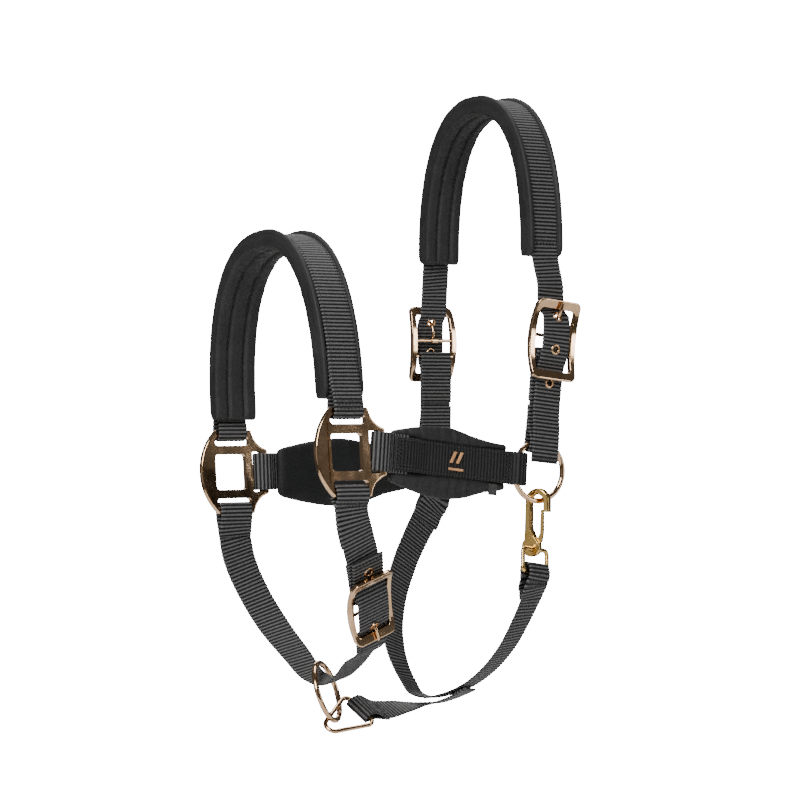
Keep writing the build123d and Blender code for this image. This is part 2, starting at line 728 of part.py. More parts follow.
def connecting_strap():
    """Short strap from the chin link to the underside of the throat strap."""
    width = LINK_WIDTH_DIR
    start = LINK_BASE - LINK_TIP_DIR * 5.3
    widths = [width, Vector(0.1, -0.88, -0.45), Vector(-0.2, -0.93, -0.25), Vector(-0.6, -0.8, 0),
              Vector(-0.76, -0.64, 0.09), Vector(-0.8, -0.6, 0.09), Vector(-0.85, -0.5, 0.1)]
    stations = [(tuple(start), tuple(widths[0]))]
    for point, across in zip(CONNECT_ROUTE, widths[1:]):
        stations.append((point, tuple(across)))
    loop_profile = Plane(LINK_BASE, x_dir=width.cross(LINK_TIP_DIR * -1), z_dir=width)
    with BuildPart() as strap:
        add(ribbon(strap_stations(stations), WEB, PLY))
        add(slot_loop(loop_profile, (0, -0.6), 3.4, LINK_WIRE + 0.8, WEB - 3.5))
    return strap.part


# ---------------------------------------------------------------- chin link and throat snap

def link_outline(plane, reach):
    """Three-cornered outline of the chin link, moved outward by reach."""
    corner, tip = LINK_WIDTH / 2 - LINK_BASE_RADIUS, LINK_LENGTH - LINK_TIP_RADIUS
    with BuildSketch(plane) as outline:
        with Locations((corner, LINK_BASE_RADIUS), (-corner, LINK_BASE_RADIUS)):
            Circle(LINK_BASE_RADIUS + reach)
        with Locations((0, tip)):
            Circle(LINK_TIP_RADIUS + reach)
        make_hull()
    return outline.sketch


def chin_link():
    """Three-cornered welded link of round wire."""
    plane = Plane(LINK_BASE, x_dir=LINK_WIDTH_DIR, z_dir=LINK_WIDTH_DIR.cross(LINK_TIP_DIR))
    outer, inner = link_outline(plane, LINK_WIRE), link_outline(plane, -LINK_WIRE)
    with BuildPart() as link:
        extrude(outer, amount=LINK_WIRE, both=True)
        extrude(inner, amount=2 * LINK_WIRE, both=True, mode=Mode.SUBTRACT)
        fillet(link.edges(), LINK_WIRE * 0.96)
    return link.part


def snap_outline():
    """Hook, shank and base of the throat snap."""
    outer, inner = HOOK_OUTER, HOOK_INNER
    base = EYE_BORE
    Line((outer, -8.5), (outer, 0))
    ThreePointArc((outer, 0), (0, outer), (-outer, 0))
    Line((-outer, 0), (-11, -30))
    ThreePointArc((-11, -30), (base[0], base[1] - 5.4), (base[0] + 5.2, base[1]))
    Polyline((base[0] + 5.2, base[1]), (1.6, -32.5), (-2.5, -26.5), (-inner, -21), (-inner, 0))
    ThreePointArc((-inner, 0), (0, inner), (inner, 0))
    Polyline((inner, 0), (inner, -8.5), (outer, -8.5))


def snap_body():
    """Cast hook body with the gate slot, the pin hole and the bore for the eye."""
    with BuildPart() as body:
        with BuildSketch(SNAP_PLANE) as shape:
            with BuildLine():
                snap_outline()
            make_face()
        extrude(amount=SNAP_THICK / 2, both=True)
        for side in (1, -1):
            rim = body.faces().sort_by(Axis(SNAP_PLANE.origin, SNAP_PLANE.z_dir * side))[-1]
            fillet(rim.edges(), 1.3)
        with BuildSketch(SNAP_PLANE):
            with Locations((GATE_PIVOT[0] + 8.0, -28.6)):
                Rectangle(24, 9.4)
        extrude(amount=SLOT_WIDTH / 2, both=True, mode=Mode.SUBTRACT)
        with BuildSketch(SNAP_PLANE):
            with Locations(GATE_PIVOT):
                Circle(GATE_PIN + 0.03)
        extrude(amount=SNAP_THICK, both=True, mode=Mode.SUBTRACT)
        with BuildSketch(Plane(EYE_TOP, z_dir=EYE_ACROSS)):
            Circle(EYE_WIRE + 0.25)
        extrude(amount=8, both=True, mode=Mode.SUBTRACT)
    return body.part


def snap_gate():
    """Flat sprung gate that closes the hook from the inside."""
    x, y = GATE_PIVOT
    with BuildPart() as gate:
        with BuildSketch(SNAP_PLANE):
            with BuildLine():
                Polyline((x, y - 2.8), (3.2, y - 2.6), (4.6, -24), (4.6, -6.6), (2.4, -6.6), (1.6, -25),
                         (0, y + 1.2), (x, y + 2.8), (x, y - 2.8))
            make_face()
            with Locations(GATE_PIVOT):
                Circle(2.8)
                Circle(GATE_PIN + 0.08, mode=Mode.SUBTRACT)
        extrude(amount=GATE_THICK / 2, both=True)
    return gate.part


def gate_pin():
    """Rivet that the gate turns on."""
    with BuildPart() as pin:
        with BuildSketch(SNAP_PLANE):
            with Locations(GATE_PIVOT):
                Circle(GATE_PIN)
        extrude(amount=SNAP_THICK / 2 + 0.4, both=True)
    return pin.part


def snap_eye():
    """Rectangular wire eye that joins the snap to the throat strap."""
    plane = Plane(EYE_TOP - EYE_UP * (EYE_HEIGHT / 2), x_dir=EYE_ACROSS, z_dir=EYE_ACROSS.cross(EYE_UP))
    with BuildSketch(plane) as shape:
        RectangleRounded(EYE_WIDTH, EYE_HEIGHT, 3.2)
    loop = shape.sketch.faces()[0].outer_wire()
    with BuildPart() as eye:
        with BuildSketch(Plane(loop @ 0, z_dir=loop % 0)):
            Circle(EYE_WIRE)
        sweep(path=loop)
    return eye.part


# ---------------------------------------------------------------- build every piece

def build_pair(side, square, crown_face, cheek, ring, turn):
    """Pieces that both sides of the headcollar have."""
    save(square_casting(square, turn), f"{side}_square")
    save(round_ring(ring, Vector(1, 0, 0), Vector(0, 1, 0), RING_RADIUS, RING_WIRE), f"{side}_cheek_ring")
    save(buckle_frame(crown_face), f"{side}_crown_buckle_frame")
    save(tongue_bar(crown_face), f"{side}_crown_tongue_bar")
    save(tongue(crown_face), f"{side}_crown_tongue")
    save(crown_buckle_strap(crown_face), f"{side}_crown_buckle_strap")
    line = billet_line(crown_face, BILLET_POINTS)
    planes = eyelet_planes(line, CROWN_EYELETS, profile_plane(crown_face))
    save(eyelet_group(planes), f"{side}_crown_eyelets")
    save(front_loop(cheek, turn), f"{side}_cheek_front_loop")
    save(cheek_webbing(cheek, ring, turn), f"{side}_cheek_webbing")
    covered_pad(lambda inset: cheek_pad(cheek, ring, turn, inset), f"{side}_cheek_pad_cover",
                f"{side}_cheek_pad_foam")


def build_single():
    """Pieces that the headcollar has once."""
    save(nose_webbing(), "noseband_webbing")
    save(crown_webbing(), "crown_webbing")
    covered_pad(nose_pad, "noseband_pad_cover", "noseband_pad_foam")
    covered_pad(crown_pad, "crown_pad_cover", "crown_pad_foam")
    save(buckle_frame(NOSE_BUCKLE_FACE, NOSE_BUCKLE_SCALE), "noseband_buckle_frame")
    save(tongue_bar(NOSE_BUCKLE_FACE, NOSE_BUCKLE_SCALE), "noseband_tongue_bar")
    save(tongue(NOSE_BUCKLE_FACE, NOSE_BUCKLE_SCALE), "noseband_tongue")
    save(nose_buckle_strap(), "noseband_buckle_strap")
    save(chin_strap(), "chin_strap")
    save(eyelet_group(chin_eyelet_planes()), "chin_strap_eyelets")
    ring_axis = CHIN_RING_DOWN.cross(CHIN_RING_SIDE)
    save(round_ring(CHIN_RING, CHIN_RING_DOWN, ring_axis, RING_RADIUS, RING_WIRE), "chin_ring")
    save(chin_link(), "chin_link")
    save(connecting_strap(), "connecting_strap")
    save(throat_strap(), "throat_strap")
    save(snap_body(), "snap_body")
    save(snap_gate(), "snap_gate")
    save(gate_pin(), "snap_gate_pin")
    save(snap_eye(), "snap_eye")
    save(blank_tag(NEAR_CHEEK), "cheek_tag")
    save(cheek_motif(NEAR_CHEEK), "cheek_motif")


build_pair("near", NEAR_SQUARE, NEAR_CROWN_FACE, NEAR_CHEEK, NEAR_RING, 1)
build_pair("far", FAR_SQUARE, FAR_CROWN_FACE, FAR_CHEEK, FAR_RING, -1)
build_single()
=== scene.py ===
"""Looks of the webbing headcollar: ribbed straps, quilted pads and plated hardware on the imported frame."""
import bmesh
import bpy
import numpy as np
from math import cos, pi, radians, sin, sqrt
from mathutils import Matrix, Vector


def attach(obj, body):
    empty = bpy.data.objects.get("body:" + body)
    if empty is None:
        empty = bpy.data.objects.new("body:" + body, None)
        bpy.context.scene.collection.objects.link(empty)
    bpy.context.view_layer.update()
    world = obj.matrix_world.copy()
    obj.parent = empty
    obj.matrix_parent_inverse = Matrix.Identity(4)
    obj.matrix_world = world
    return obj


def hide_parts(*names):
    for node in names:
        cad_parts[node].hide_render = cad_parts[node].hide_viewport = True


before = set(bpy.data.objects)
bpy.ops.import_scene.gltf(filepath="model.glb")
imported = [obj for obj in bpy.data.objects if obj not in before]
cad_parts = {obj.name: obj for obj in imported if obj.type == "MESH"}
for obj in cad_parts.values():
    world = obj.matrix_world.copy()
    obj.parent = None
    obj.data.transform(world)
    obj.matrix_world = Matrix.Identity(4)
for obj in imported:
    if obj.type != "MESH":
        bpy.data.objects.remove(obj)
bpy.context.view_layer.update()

# ------------------------ sizes, in millimetres, as in the CAD
MM = 0.001
PLY = 2.0
WEB = 25.0
WIDE_WEB = 29.0
CHIN_WEB = 28.0
PLY_PLAY = 0.05
RIB = 2.9
RIB_STEPS = 6
RIB_DEPTH = 0.42
RIB_FLATNESS = 0.55
EDGE_TOOTH = 0.5
MEAN_RIDGE = 0.75
YARN_PITCH = 0.75
YARN_SLANT = 1.6
UV_UNIT = 100
ARCH_POWER = 2.4

NOSE_ROLL = 6.1
NOSE_CENTRE = Vector((-186, 0, -273.5))
NOSE_HALF, NOSE_FOOT, NOSE_RISE = 88.0, 37.0, 136.0
CROWN_HALF, CROWN_FOOT, CROWN_RISE = 76.0, -115.0, 127.0
SQUARE_ACROSS = 87.0
SQUARE_TOP = 33.0
SQUARE_BAR = 5.7
REAR_BAR_U = 28.75
RING_RADIUS = 22.8
NEAR_RING = Vector((-9, -79.7, -281))
FAR_RING = Vector((2, 79.7, -281))
NEAR_BUCKLE = Vector((2, -82, -180))
FAR_BUCKLE = Vector((2, 82, -180))
NOSE_BUCKLE = Vector((-158, -71, -378))
BUCKLE_SCALE = 0.9
STRAP_N = -3.0
STITCH_INSET = 1.8


class Face:
    """A plane with its own directions: x across, y along, z outward."""

    def __init__(self, origin, x, z):
        self.origin = Vector(origin)
        self.x = Vector(x).normalized()
        self.z = Vector(z).normalized()
        self.y = self.z.cross(self.x)

    def at(self, u, v, n=0.0):
        return self.origin + self.x * u + self.y * v + self.z * n


ACROSS = Vector((0, cos(radians(NOSE_ROLL)), -sin(radians(NOSE_ROLL))))
NOSE_UP = Vector((0, sin(radians(NOSE_ROLL)), cos(radians(NOSE_ROLL))))
NEAR_SQUARE = Face(NOSE_CENTRE - ACROSS * SQUARE_ACROSS, (1, 0, 0), -ACROSS)
FAR_SQUARE = Face(NOSE_CENTRE + ACROSS * SQUARE_ACROSS, (-1, 0, 0), ACROSS)


def crown_face(centre, ring, outward):
    along = Vector((centre.x - ring.x, 0, centre.z - ring.z)).normalized()
    return Face(centre, along.cross(outward), outward)


NEAR_CROWN = crown_face(NEAR_BUCKLE, NEAR_RING, Vector((0, -1, 0)))
FAR_CROWN = crown_face(FAR_BUCKLE, FAR_RING, Vector((0, 1, 0)))
CHIN_ALONG = Vector((0.315, 0.412, -0.855)).normalized()
CHIN_ACROSS = Vector((-0.938, -0.002, -0.347)).normalized()
NOSE_FACE = Face(NOSE_BUCKLE, CHIN_ACROSS, CHIN_ACROSS.cross(CHIN_ALONG))


def cheek_face(square, ring, turn):
    bar = square.at(REAR_BAR_U * turn, 0)
    along = (ring - bar).normalized() * turn
    upright = (square.y + Vector((0, 0, 1))).normalized()
    up = upright - along * upright.dot(along)
    return Face(bar, along, along.cross(up))


NEAR_CHEEK = cheek_face(NEAR_SQUARE, NEAR_RING, 1)
FAR_CHEEK = cheek_face(FAR_SQUARE, FAR_RING, -1)


# ------------------------ node materials

def new_material(name):
    material = bpy.data.materials.new(name)
    material.use_nodes = True
    tree = material.node_tree
    return material, tree, tree.nodes["Principled BSDF"]


def add_node(tree, kind, **values):
    """A node with its inputs (by name) or attributes set."""
    node = tree.nodes.new(kind)
    for key, value in values.items():
        if key in node.inputs:
            node.inputs[key].default_value = value
        else:
            setattr(node, key, value)
    return node


def noise(tree, source, scale, detail=4.0, roughness=0.55):
    node = add_node(tree, "ShaderNodeTexNoise", Scale=scale, Detail=detail, Roughness=roughness)
    tree.links.new(source, node.inputs["Vector"])
    return node.outputs["Fac"]


def ramp(tree, source, stops):
    """Colour ramp from (position, colour or grey) stops."""
    node = tree.nodes.new("ShaderNodeValToRGB")
    elements = node.color_ramp.elements
    while len(elements) < len(stops):
        elements.new(0.5)
    for element, (position, colour) in zip(elements, stops):
        element.position = position
        element.color = (*colour, 1) if isinstance(colour, tuple) else (colour, colour, colour, 1)
    tree.links.new(source, node.inputs["Fac"])
    return node.outputs["Color"]


def bump(tree, height, strength, distance, before=None):
    node = add_node(tree, "ShaderNodeBump", Strength=strength, Distance=distance)
    tree.links.new(height, node.inputs["Height"])
    if before:
        tree.links.new(before, node.inputs["Normal"])
    return node.outputs["Normal"]


def math(tree, operation, first, second=None, third=None):
    node = tree.nodes.new("ShaderNodeMath")
    node.operation = operation
    for slot, value in enumerate((first, second, third)):
        if value is None:
            continue
        if isinstance(value, (int, float)):
            node.inputs[slot].default_value = value
        else:
            tree.links.new(value, node.inputs[slot])
    return node.outputs[0]


def mix_colour(tree, factor, first, second):
    node = tree.nodes.new("ShaderNodeMix")
    node.data_type = "RGBA"
    for value, slot in ((factor, 0), (first, 6), (second, 7)):
        if hasattr(value, "links"):
            tree.links.new(value, node.inputs[slot])
        else:
            node.inputs[slot].default_value = value
    return node.outputs[2]


def webbing_material(name, crest):
    """Black nylon webbing: raised cross ribs of packed yarns with painted shade in the grooves and painted
    highlights on the crests, a dull sheen and wear.
    """
    material, tree, shader = new_material(name)
    uv = add_node(tree, "ShaderNodeUVMap", uv_map="UVMap").outputs["UV"]
    place = tree.nodes.new("ShaderNodeTexCoord").outputs["Object"]
    split = tree.nodes.new("ShaderNodeSeparateXYZ")
    tree.links.new(uv, split.inputs[0])
    # U runs across the strap and V along it, in hundreds of millimetres
    phase = math(tree, "MULTIPLY", split.outputs["Y"], UV_UNIT * 2 * pi / RIB)
    rib = math(tree, "MULTIPLY_ADD", math(tree, "COSINE", phase), 0.5, 0.5)
    slant = math(tree, "ADD", math(tree, "MULTIPLY", split.outputs["X"], UV_UNIT * 2 * pi / YARN_PITCH),
                 math(tree, "MULTIPLY", split.outputs["Y"], UV_UNIT * 2 * pi / YARN_SLANT))
    yarn = math(tree, "MULTIPLY_ADD", math(tree, "SINE", slant), 0.5, 0.5)
    fluff = noise(tree, place, 900, 5.0, 0.7)
    blotch = noise(tree, place, 22, 3.0)
    # the rib colour is painted light: painted shade darkens the grooves and a painted highlight lightens the
    # crests
    rib_shade_and_highlight = ramp(tree, rib, [(0.0, (0.0008, 0.0008, 0.0009)), (0.3, (0.005, 0.005, 0.0052)),
                            (0.8, (crest, crest, crest))])
    worn = ramp(tree, blotch, [(0.35, (0.0, 0.0, 0.0)), (0.75, (0.5, 0.5, 0.5))])
    dust = mix_colour(tree, worn, (0.022, 0.022, 0.023, 1), (0.04, 0.039, 0.04, 1))
    weave = math(tree, "MULTIPLY", yarn, math(tree, "MULTIPLY", fluff, 0.55))
    tree.links.new(mix_colour(tree, weave, rib_shade_and_highlight, dust), shader.inputs["Base Color"])
    texture = math(tree, "ADD", math(tree, "MULTIPLY", fluff, 0.5), math(tree, "MULTIPLY", yarn, 0.3))
    tree.links.new(ramp(tree, texture, [(0.1, 0.48), (0.8, 0.72)]), shader.inputs["Roughness"])
    first = bump(tree, yarn, 0.55, 0.00016)
    tree.links.new(bump(tree, fluff, 0.35, 0.00012, first), shader.inputs["Normal"])
    shader.inputs["Specular IOR Level"].default_value = 0.25
    shader.inputs["Sheen Weight"].default_value = 0.02
    shader.inputs["Sheen Roughness"].default_value = 0.4
    return material


def padding_material(name, tone):
    """Soft black woven cover: fine plain weave with painted highlights on its crossings, small puckers and
    an uneven satin.
    """
    material, tree, shader = new_material(name)
    place = tree.nodes.new("ShaderNodeTexCoord").outputs["Object"]
    waves = []
    for direction in ("X", "Z"):
        node = add_node(tree, "ShaderNodeTexWave", Scale=520.0, Distortion=1.2, Detail=1.0,
                        bands_direction=direction)
        tree.links.new(place, node.inputs["Vector"])
        waves.append(node.outputs["Fac"])
    weave = math(tree, "MULTIPLY", waves[0], waves[1])
    fine = noise(tree, place, 700, 4.0, 0.65)
    creases = noise(tree, place, 95, 3.0, 0.5)
    cloud = noise(tree, place, 30, 3.0)
    colour = ramp(tree, cloud, [(0.3, 0.013 * tone), (0.7, 0.024 * tone)])
    # the raised crossings of the weave are coloured lighter: a painted highlight
    crossing_highlight = (0.034 * tone, 0.034 * tone, 0.035 * tone, 1)
    lit = mix_colour(tree, math(tree, "MULTIPLY", weave, 0.6), colour, crossing_highlight)
    tree.links.new(lit, shader.inputs["Base Color"])
    tree.links.new(ramp(tree, fine, [(0.25, 0.5), (0.75, 0.7)]), shader.inputs["Roughness"])
    first = bump(tree, creases, 0.25, 0.0009)
    second = bump(tree, weave, 0.4, 0.00015, first)
    tree.links.new(bump(tree, fine, 0.25, 0.0001, second), shader.inputs["Normal"])
    shader.inputs["Sheen Weight"].default_value = 0.04 * tone
    shader.inputs["Sheen Roughness"].default_value = 0.35
    shader.inputs["Specular IOR Level"].default_value = 0.3
    return material


def metal_material(name, low, high, rough):
    """Polished plating with cast unevenness, fine scratches and a darker film in places."""
    material, tree, shader = new_material(name)
    place = tree.nodes.new("ShaderNodeTexCoord").outputs["Object"]
    film = noise(tree, place, 60, 4.0)
    scratch = noise(tree, place, 1500, 3.0, 0.7)
    ripple = noise(tree, place, 48, 1.5)
    tree.links.new(ramp(tree, film, [(0.3, low), (0.7, high)]), shader.inputs["Base Color"])
    tree.links.new(ramp(tree, scratch, [(0.3, rough), (0.8, rough + 0.12)]), shader.inputs["Roughness"])
    first = bump(tree, ripple, 0.3, 0.0022)
    tree.links.new(bump(tree, scratch, 0.05, 0.00005, first), shader.inputs["Normal"])
    shader.inputs["Metallic"].default_value = 1.0
    return material


def thread_material(name, low, high):
    """Twisted sewing thread."""
    material, tree, shader = new_material(name)
    place = tree.nodes.new("ShaderNodeTexCoord").outputs["Object"]
    strand = noise(tree, place, 1800, 3.0, 0.6)
    cloud = noise(tree, place, 160, 3.0)
    tree.links.new(ramp(tree, cloud, [(0.3, low), (0.7, high)]), shader.inputs["Base Color"])
    tree.links.new(ramp(tree, strand, [(0.3, 0.35), (0.7, 0.6)]), shader.inputs["Roughness"])
    tree.links.new(bump(tree, strand, 0.5, 0.0001), shader.inputs["Normal"])
    shader.inputs["Sheen Weight"].default_value = 0.08
    return material


# the second number is the colour of the rib crests, a painted highlight
WEBBING = webbing_material("ribbed_nylon", 0.13)
CHEEK_WEBBING = webbing_material("dark_ribbed_nylon", 0.028)
PADDING = padding_material("soft_black_cover", 1.0)
# a darker copy of the cover for the inner faces of the cheek pads: painted shade
SHADED_INNER_COVER = padding_material("shaded_inner_cover", 0.3)
ROSE_GOLD = metal_material("rose_gold_plating", (0.54, 0.33, 0.17), (0.84, 0.56, 0.34), 0.06)
BRASS = metal_material("yellow_brass", (0.68, 0.42, 0.12), (0.90, 0.62, 0.22), 0.14)
EYELET = metal_material("eyelet_brass", (0.58, 0.33, 0.16), (0.84, 0.54, 0.30), 0.2)
BLACK_THREAD = thread_material("black_thread", (0.006, 0.006, 0.006), (0.022, 0.022, 0.023))
ROSE_THREAD = thread_material("rose_thread", (0.50, 0.22, 0.08), (0.80, 0.42, 0.19))
TAG_CLOTH = thread_material("tag_cloth", (0.01, 0.01, 0.01), (0.035, 0.035, 0.035))


# ------------------------ routes and meshes

FINE_STEP = 0.15
EYELET_CUT = 3.5
# place of the thread in a strap's list of materials, after its webbing
THREAD = 1
# columns across a strap, as shares of its half width, and how thick it is at each
COLUMNS = np.array([-1, -0.965, -0.87, -0.74, -0.6, -0.45, -0.3, -0.15,
                    0, 0.15, 0.3, 0.45, 0.6, 0.74, 0.87, 0.965, 1])
EDGE_SHAPE = np.array([0.42, 0.85] + [1.0] * 13 + [0.85, 0.42])


def bent_line(rows, spacing):
    """Smooth curve through rows of numbers, whose first three are a place; evenly spaced samples."""
    rows = np.array(rows, float)
    gaps = np.maximum(np.linalg.norm(np.diff(rows[:, :3], axis=0), axis=1), 1e-6)
    slopes = np.diff(rows, axis=0) / gaps[:, None]
    tangents = np.empty_like(rows)
    tangents[0], tangents[-1] = slopes[0], slopes[-1]
    weight = (gaps[1:] / (gaps[1:] + gaps[:-1]))[:, None]
    tangents[1:-1] = slopes[:-1] * weight + slopes[1:] * (1 - weight)
    pieces = []
    for index, gap in enumerate(gaps):
        t = np.linspace(0, 1, max(int(gap / FINE_STEP), 4), endpoint=False)[:, None]
        pieces.append((2 * t**3 - 3 * t**2 + 1) * rows[index]
                      + (t**3 - 2 * t**2 + t) * gap * tangents[index]
                      + (3 * t**2 - 2 * t**3) * rows[index + 1]
                      + (t**3 - t**2) * gap * tangents[index + 1])
    dense = np.vstack(pieces + [rows[-1:]])
    travelled = np.concatenate([[0], np.cumsum(np.linalg.norm(np.diff(dense[:, :3], axis=0), axis=1))])
    stops = np.linspace(0, travelled[-1], max(int(travelled[-1] / spacing), 2) + 1)
    return np.stack([np.interp(stops, travelled, column) for column in dense.T], axis=1), stops


def unit(vectors):
    return vectors / np.linalg.norm(vectors, axis=-1, keepdims=True)


def signed_power(value, power):
    """The value's size raised to the power, with its own sign."""
    return abs(value) ** power * (1 if value > 0 else -1)


class MeshParts:
    """Collects vertices, faces, material numbers and UVs for one piece."""

    def __init__(self):
        self.points, self.faces, self.finish, self.uvs = [], [], [], []

    def add(self, points, faces, finish=0, uvs=None):
        offset = len(self.points)
        self.points.extend(points)
        self.faces.extend([tuple(offset + i for i in face) for face in faces])
        self.finish.extend([finish] * len(faces))
        self.uvs.extend(uvs if uvs is not None else [(0.0, 0.0)] * len(points))

    def build(self, name, materials, holes=()):
        mesh = bpy.data.meshes.new(name)
        mesh.from_pydata([tuple(c * MM for c in p) for p in self.points], [], self.faces)
        for material in materials:
            mesh.materials.append(material)
        mesh.polygons.foreach_set("material_index", self.finish)
        mesh.polygons.foreach_set("use_smooth", [True] * len(self.faces))
        layer = mesh.uv_layers.new(name="UVMap")
        corners = np.empty(len(mesh.loops), int)
        mesh.loops.foreach_get("vertex_index", corners)
        layer.data.foreach_set("uv", np.array(self.uvs, np.float32)[corners].ravel())
        if holes:
            punch(mesh, holes)
        mesh.validate()
        piece = bpy.data.objects.new(name, mesh)
        bpy.context.scene.collection.objects.link(piece)
        return piece


def punch(mesh, holes):
    """Take out the faces under each eyelet; holes are (place, outward, open right through)."""
    work = bmesh.new()
    work.from_mesh(mesh)
    gone = []
    for face in work.faces:
        middle = face.calc_center_median() / MM
        for hole, outward, through in holes:
            offset = middle - hole
            webbing_under = face.material_index == 0 and offset.length < EYELET_CUT
            if webbing_under and (through or offset.dot(outward) > 0):
                gone.append(face)
                break
    bmesh.ops.delete(work, geom=gone, context="FACES")
    work.to_mesh(mesh)
    work.free()


class Strap:
    """Webbing along a route of (point, width direction, width) rows."""

    def __init__(self, rows):
        samples, self.length = bent_line([(*p, *a, w) for p, a, w in rows], RIB / RIB_STEPS)
        self.middle = samples[:, :3]
        self.along = unit(np.gradient(self.middle, axis=0))
        across = samples[:, 3:6]
        across = across - self.along * np.sum(across * self.along, axis=1, keepdims=True)
        self.across = unit(across)
        self.normal = np.cross(self.across, self.along)
        self.width = samples[:, 6]

    def mesh(self, parts):
        """Closed ribbon with raised ribs on both faces and toothed edges."""
        ridge = np.abs(np.cos(pi * self.length / RIB)) ** RIB_FLATNESS
        half = PLY / 2 - RIB_DEPTH * (1 - ridge)
        side = self.width / 2 + EDGE_TOOTH * (ridge - MEAN_RIDGE)
        rings = []
        for sign, order in ((1, slice(None)), (-1, slice(None, None, -1))):
            columns, shape = COLUMNS[order], EDGE_SHAPE[order]
            offset = side[:, None] * columns[None, :]
            lift = sign * half[:, None] * shape[None, :]
            rings.append(self.middle[:, None, :] + self.across[:, None, :] * offset[:, :, None]
                         + self.normal[:, None, :] * lift[:, :, None])
        grid = np.concatenate(rings, axis=1)
        count, ring = grid.shape[:2]
        faces = []
        for row in range(count - 1):
            start, following = row * ring, (row + 1) * ring
            for j in range(ring):
                k = (j + 1) % ring
                faces.append((start + j, start + k, following + k, following + j))
        wide = len(COLUMNS)
        for start, flip in ((0, False), ((count - 1) * ring, True)):
            for j in range(wide - 1):
                cap = (start + j, start + 2 * wide - 1 - j, start + 2 * wide - 2 - j, start + j + 1)
                faces.append(cap[::-1] if flip else cap)
        marks = np.concatenate([COLUMNS, COLUMNS[::-1]])
        uvs = np.stack([np.repeat((marks * WEB / 2 / UV_UNIT)[None, :], count, 0),
                        np.repeat((self.length / UV_UNIT)[:, None], ring, 1)], axis=2)
        parts.add(grid.reshape(-1, 3).tolist(), faces, uvs=uvs.reshape(-1, 2).tolist())

    def index(self, distance):
        """Sample at a distance from the start, or from the end when it is negative."""
        total = self.length[-1]
        return int(np.argmin(np.abs(self.length - (distance if distance >= 0 else total + distance))))

    def surface(self, i, offset, side):
        """Point on one face at sample i."""
        lift = side * (PLY / 2 + PLY_PLAY)
        return self.middle[i] + self.across[i] * offset + self.normal[i] * lift

    def facing(self, i, direction):
        """1 when the normal at sample i points along the direction, otherwise -1."""
        return 1 if np.dot(self.normal[i], np.array(direction)) > 0 else -1

    def bartack(self, parts, distance, side, rows=2):
        """Zigzag rows of stitches across the strap."""
        row_gap, margin, spacing = 2.6, 1.6, 1.5
        for row in range(rows):
            i = self.index(distance + row * row_gap * (1 if distance >= 0 else -1))
            half = self.width[i] / 2 - margin
            steps = int(2 * half / spacing)
            for step in range(steps):
                offset = -half + (step + 0.5) * 2 * half / steps
                lean = 0.75 if (step + row) % 2 else -0.75
                direction = self.along[i] + self.across[i] * lean
                stitch(parts, self.surface(i, offset, side), direction, self.normal[i], 2.5, 0.33, THREAD)

    def long_rows(self, parts, start, end, inset, side):
        """Two straight rows of stitches along the edges."""
        spacing = 3.0
        first, last = self.index(start), self.index(end)
        stride = int(round(spacing / (RIB / RIB_STEPS)))
        for i in range(first, last, stride):
            for sign in (1, -1):
                spot = self.surface(i, sign * (self.width[i] / 2 - inset), side)
                stitch(parts, spot, self.along[i], self.normal[i], 2.3, 0.32, THREAD)


SPINDLE = 6


def stitch(parts, spot, direction, normal, length, radius, finish):
    """One sunk thread stitch: a short six-sided spindle."""
    direction = unit(np.array(direction, float))
    normal = np.array(normal, float)
    side = np.cross(direction, normal)
    points, faces = [], []
    for reach, swell in ((-0.5, 0.25), (-0.28, 1.0), (0.28, 1.0), (0.5, 0.25)):
        for k in range(SPINDLE):
            turn = 2 * pi * k / SPINDLE
            points.append(tuple(spot + direction * reach * length
                                + (side * cos(turn) + normal * sin(turn)) * radius * swell))
    last = 3 * SPINDLE
    for ring in range(0, last, SPINDLE):
        for k in range(SPINDLE):
            a, b = ring + k, ring + (k + 1) % SPINDLE
            faces.append((a, b, b + SPINDLE, a + SPINDLE))
    faces.append(tuple(reversed(range(SPINDLE))))
    faces.append(tuple(range(last, last + SPINDLE)))
    parts.add(points, faces, finish)


def finish_piece(piece, body, slot, *nodes):
    """Say what the piece rides on and which CAD nodes it stands for; the slot, a finish name, is not used.
    """
    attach(piece, body)
    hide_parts(*nodes)
    return piece


def sewn(rows):
    """A strap through the rows, and the mesh parts that its stitches join."""
    strap = Strap(rows)
    parts = MeshParts()
    strap.mesh(parts)
    return strap, parts


def finish_strap(parts, name, node, holes=(), webbing=WEBBING):
    """Build a sewn strap and let it stand for its CAD node."""
    piece = parts.build(name, [webbing, BLACK_THREAD], holes)
    return finish_piece(piece, "headcollar", "black_webbing", node)


def rows_in(face, points, width, across=None, scale=1.0):
    """Route rows from (outward, along) points of a face."""
    across = across or face.x
    return [(face.at(0, v * scale, n), across, width) for n, v in points]


def arch(half, foot, rise, count=17):
    """Points of a round-shouldered arch from its right foot over to its left."""
    points = []
    for step in range(count):
        angle = radians(180 * step / (count - 1))
        x = signed_power(cos(angle), 2 / ARCH_POWER) * half
        y = max(sin(angle), 0.0) ** (2 / ARCH_POWER) * rise
        points.append((x, foot + y))
    return points


# ------------------------ the straps

X = Vector((1, 0, 0))
# (outward, along) routes of the billets through their buckles, from above the buckle down to the tail
BILLET = [(0.0, 31), (0.3, 27.5), (0.6, 24), (4.7, 18), (5.4, 11), (5.5, 3), (5.5, -7), (4.2, -14.5),
          (1.9, -20), (0.95, -24.5), (0.95, -33), (0.95, -48), (1.4, -58), (3.0, -67), (4.0, -76),
          (4.1, -95)]
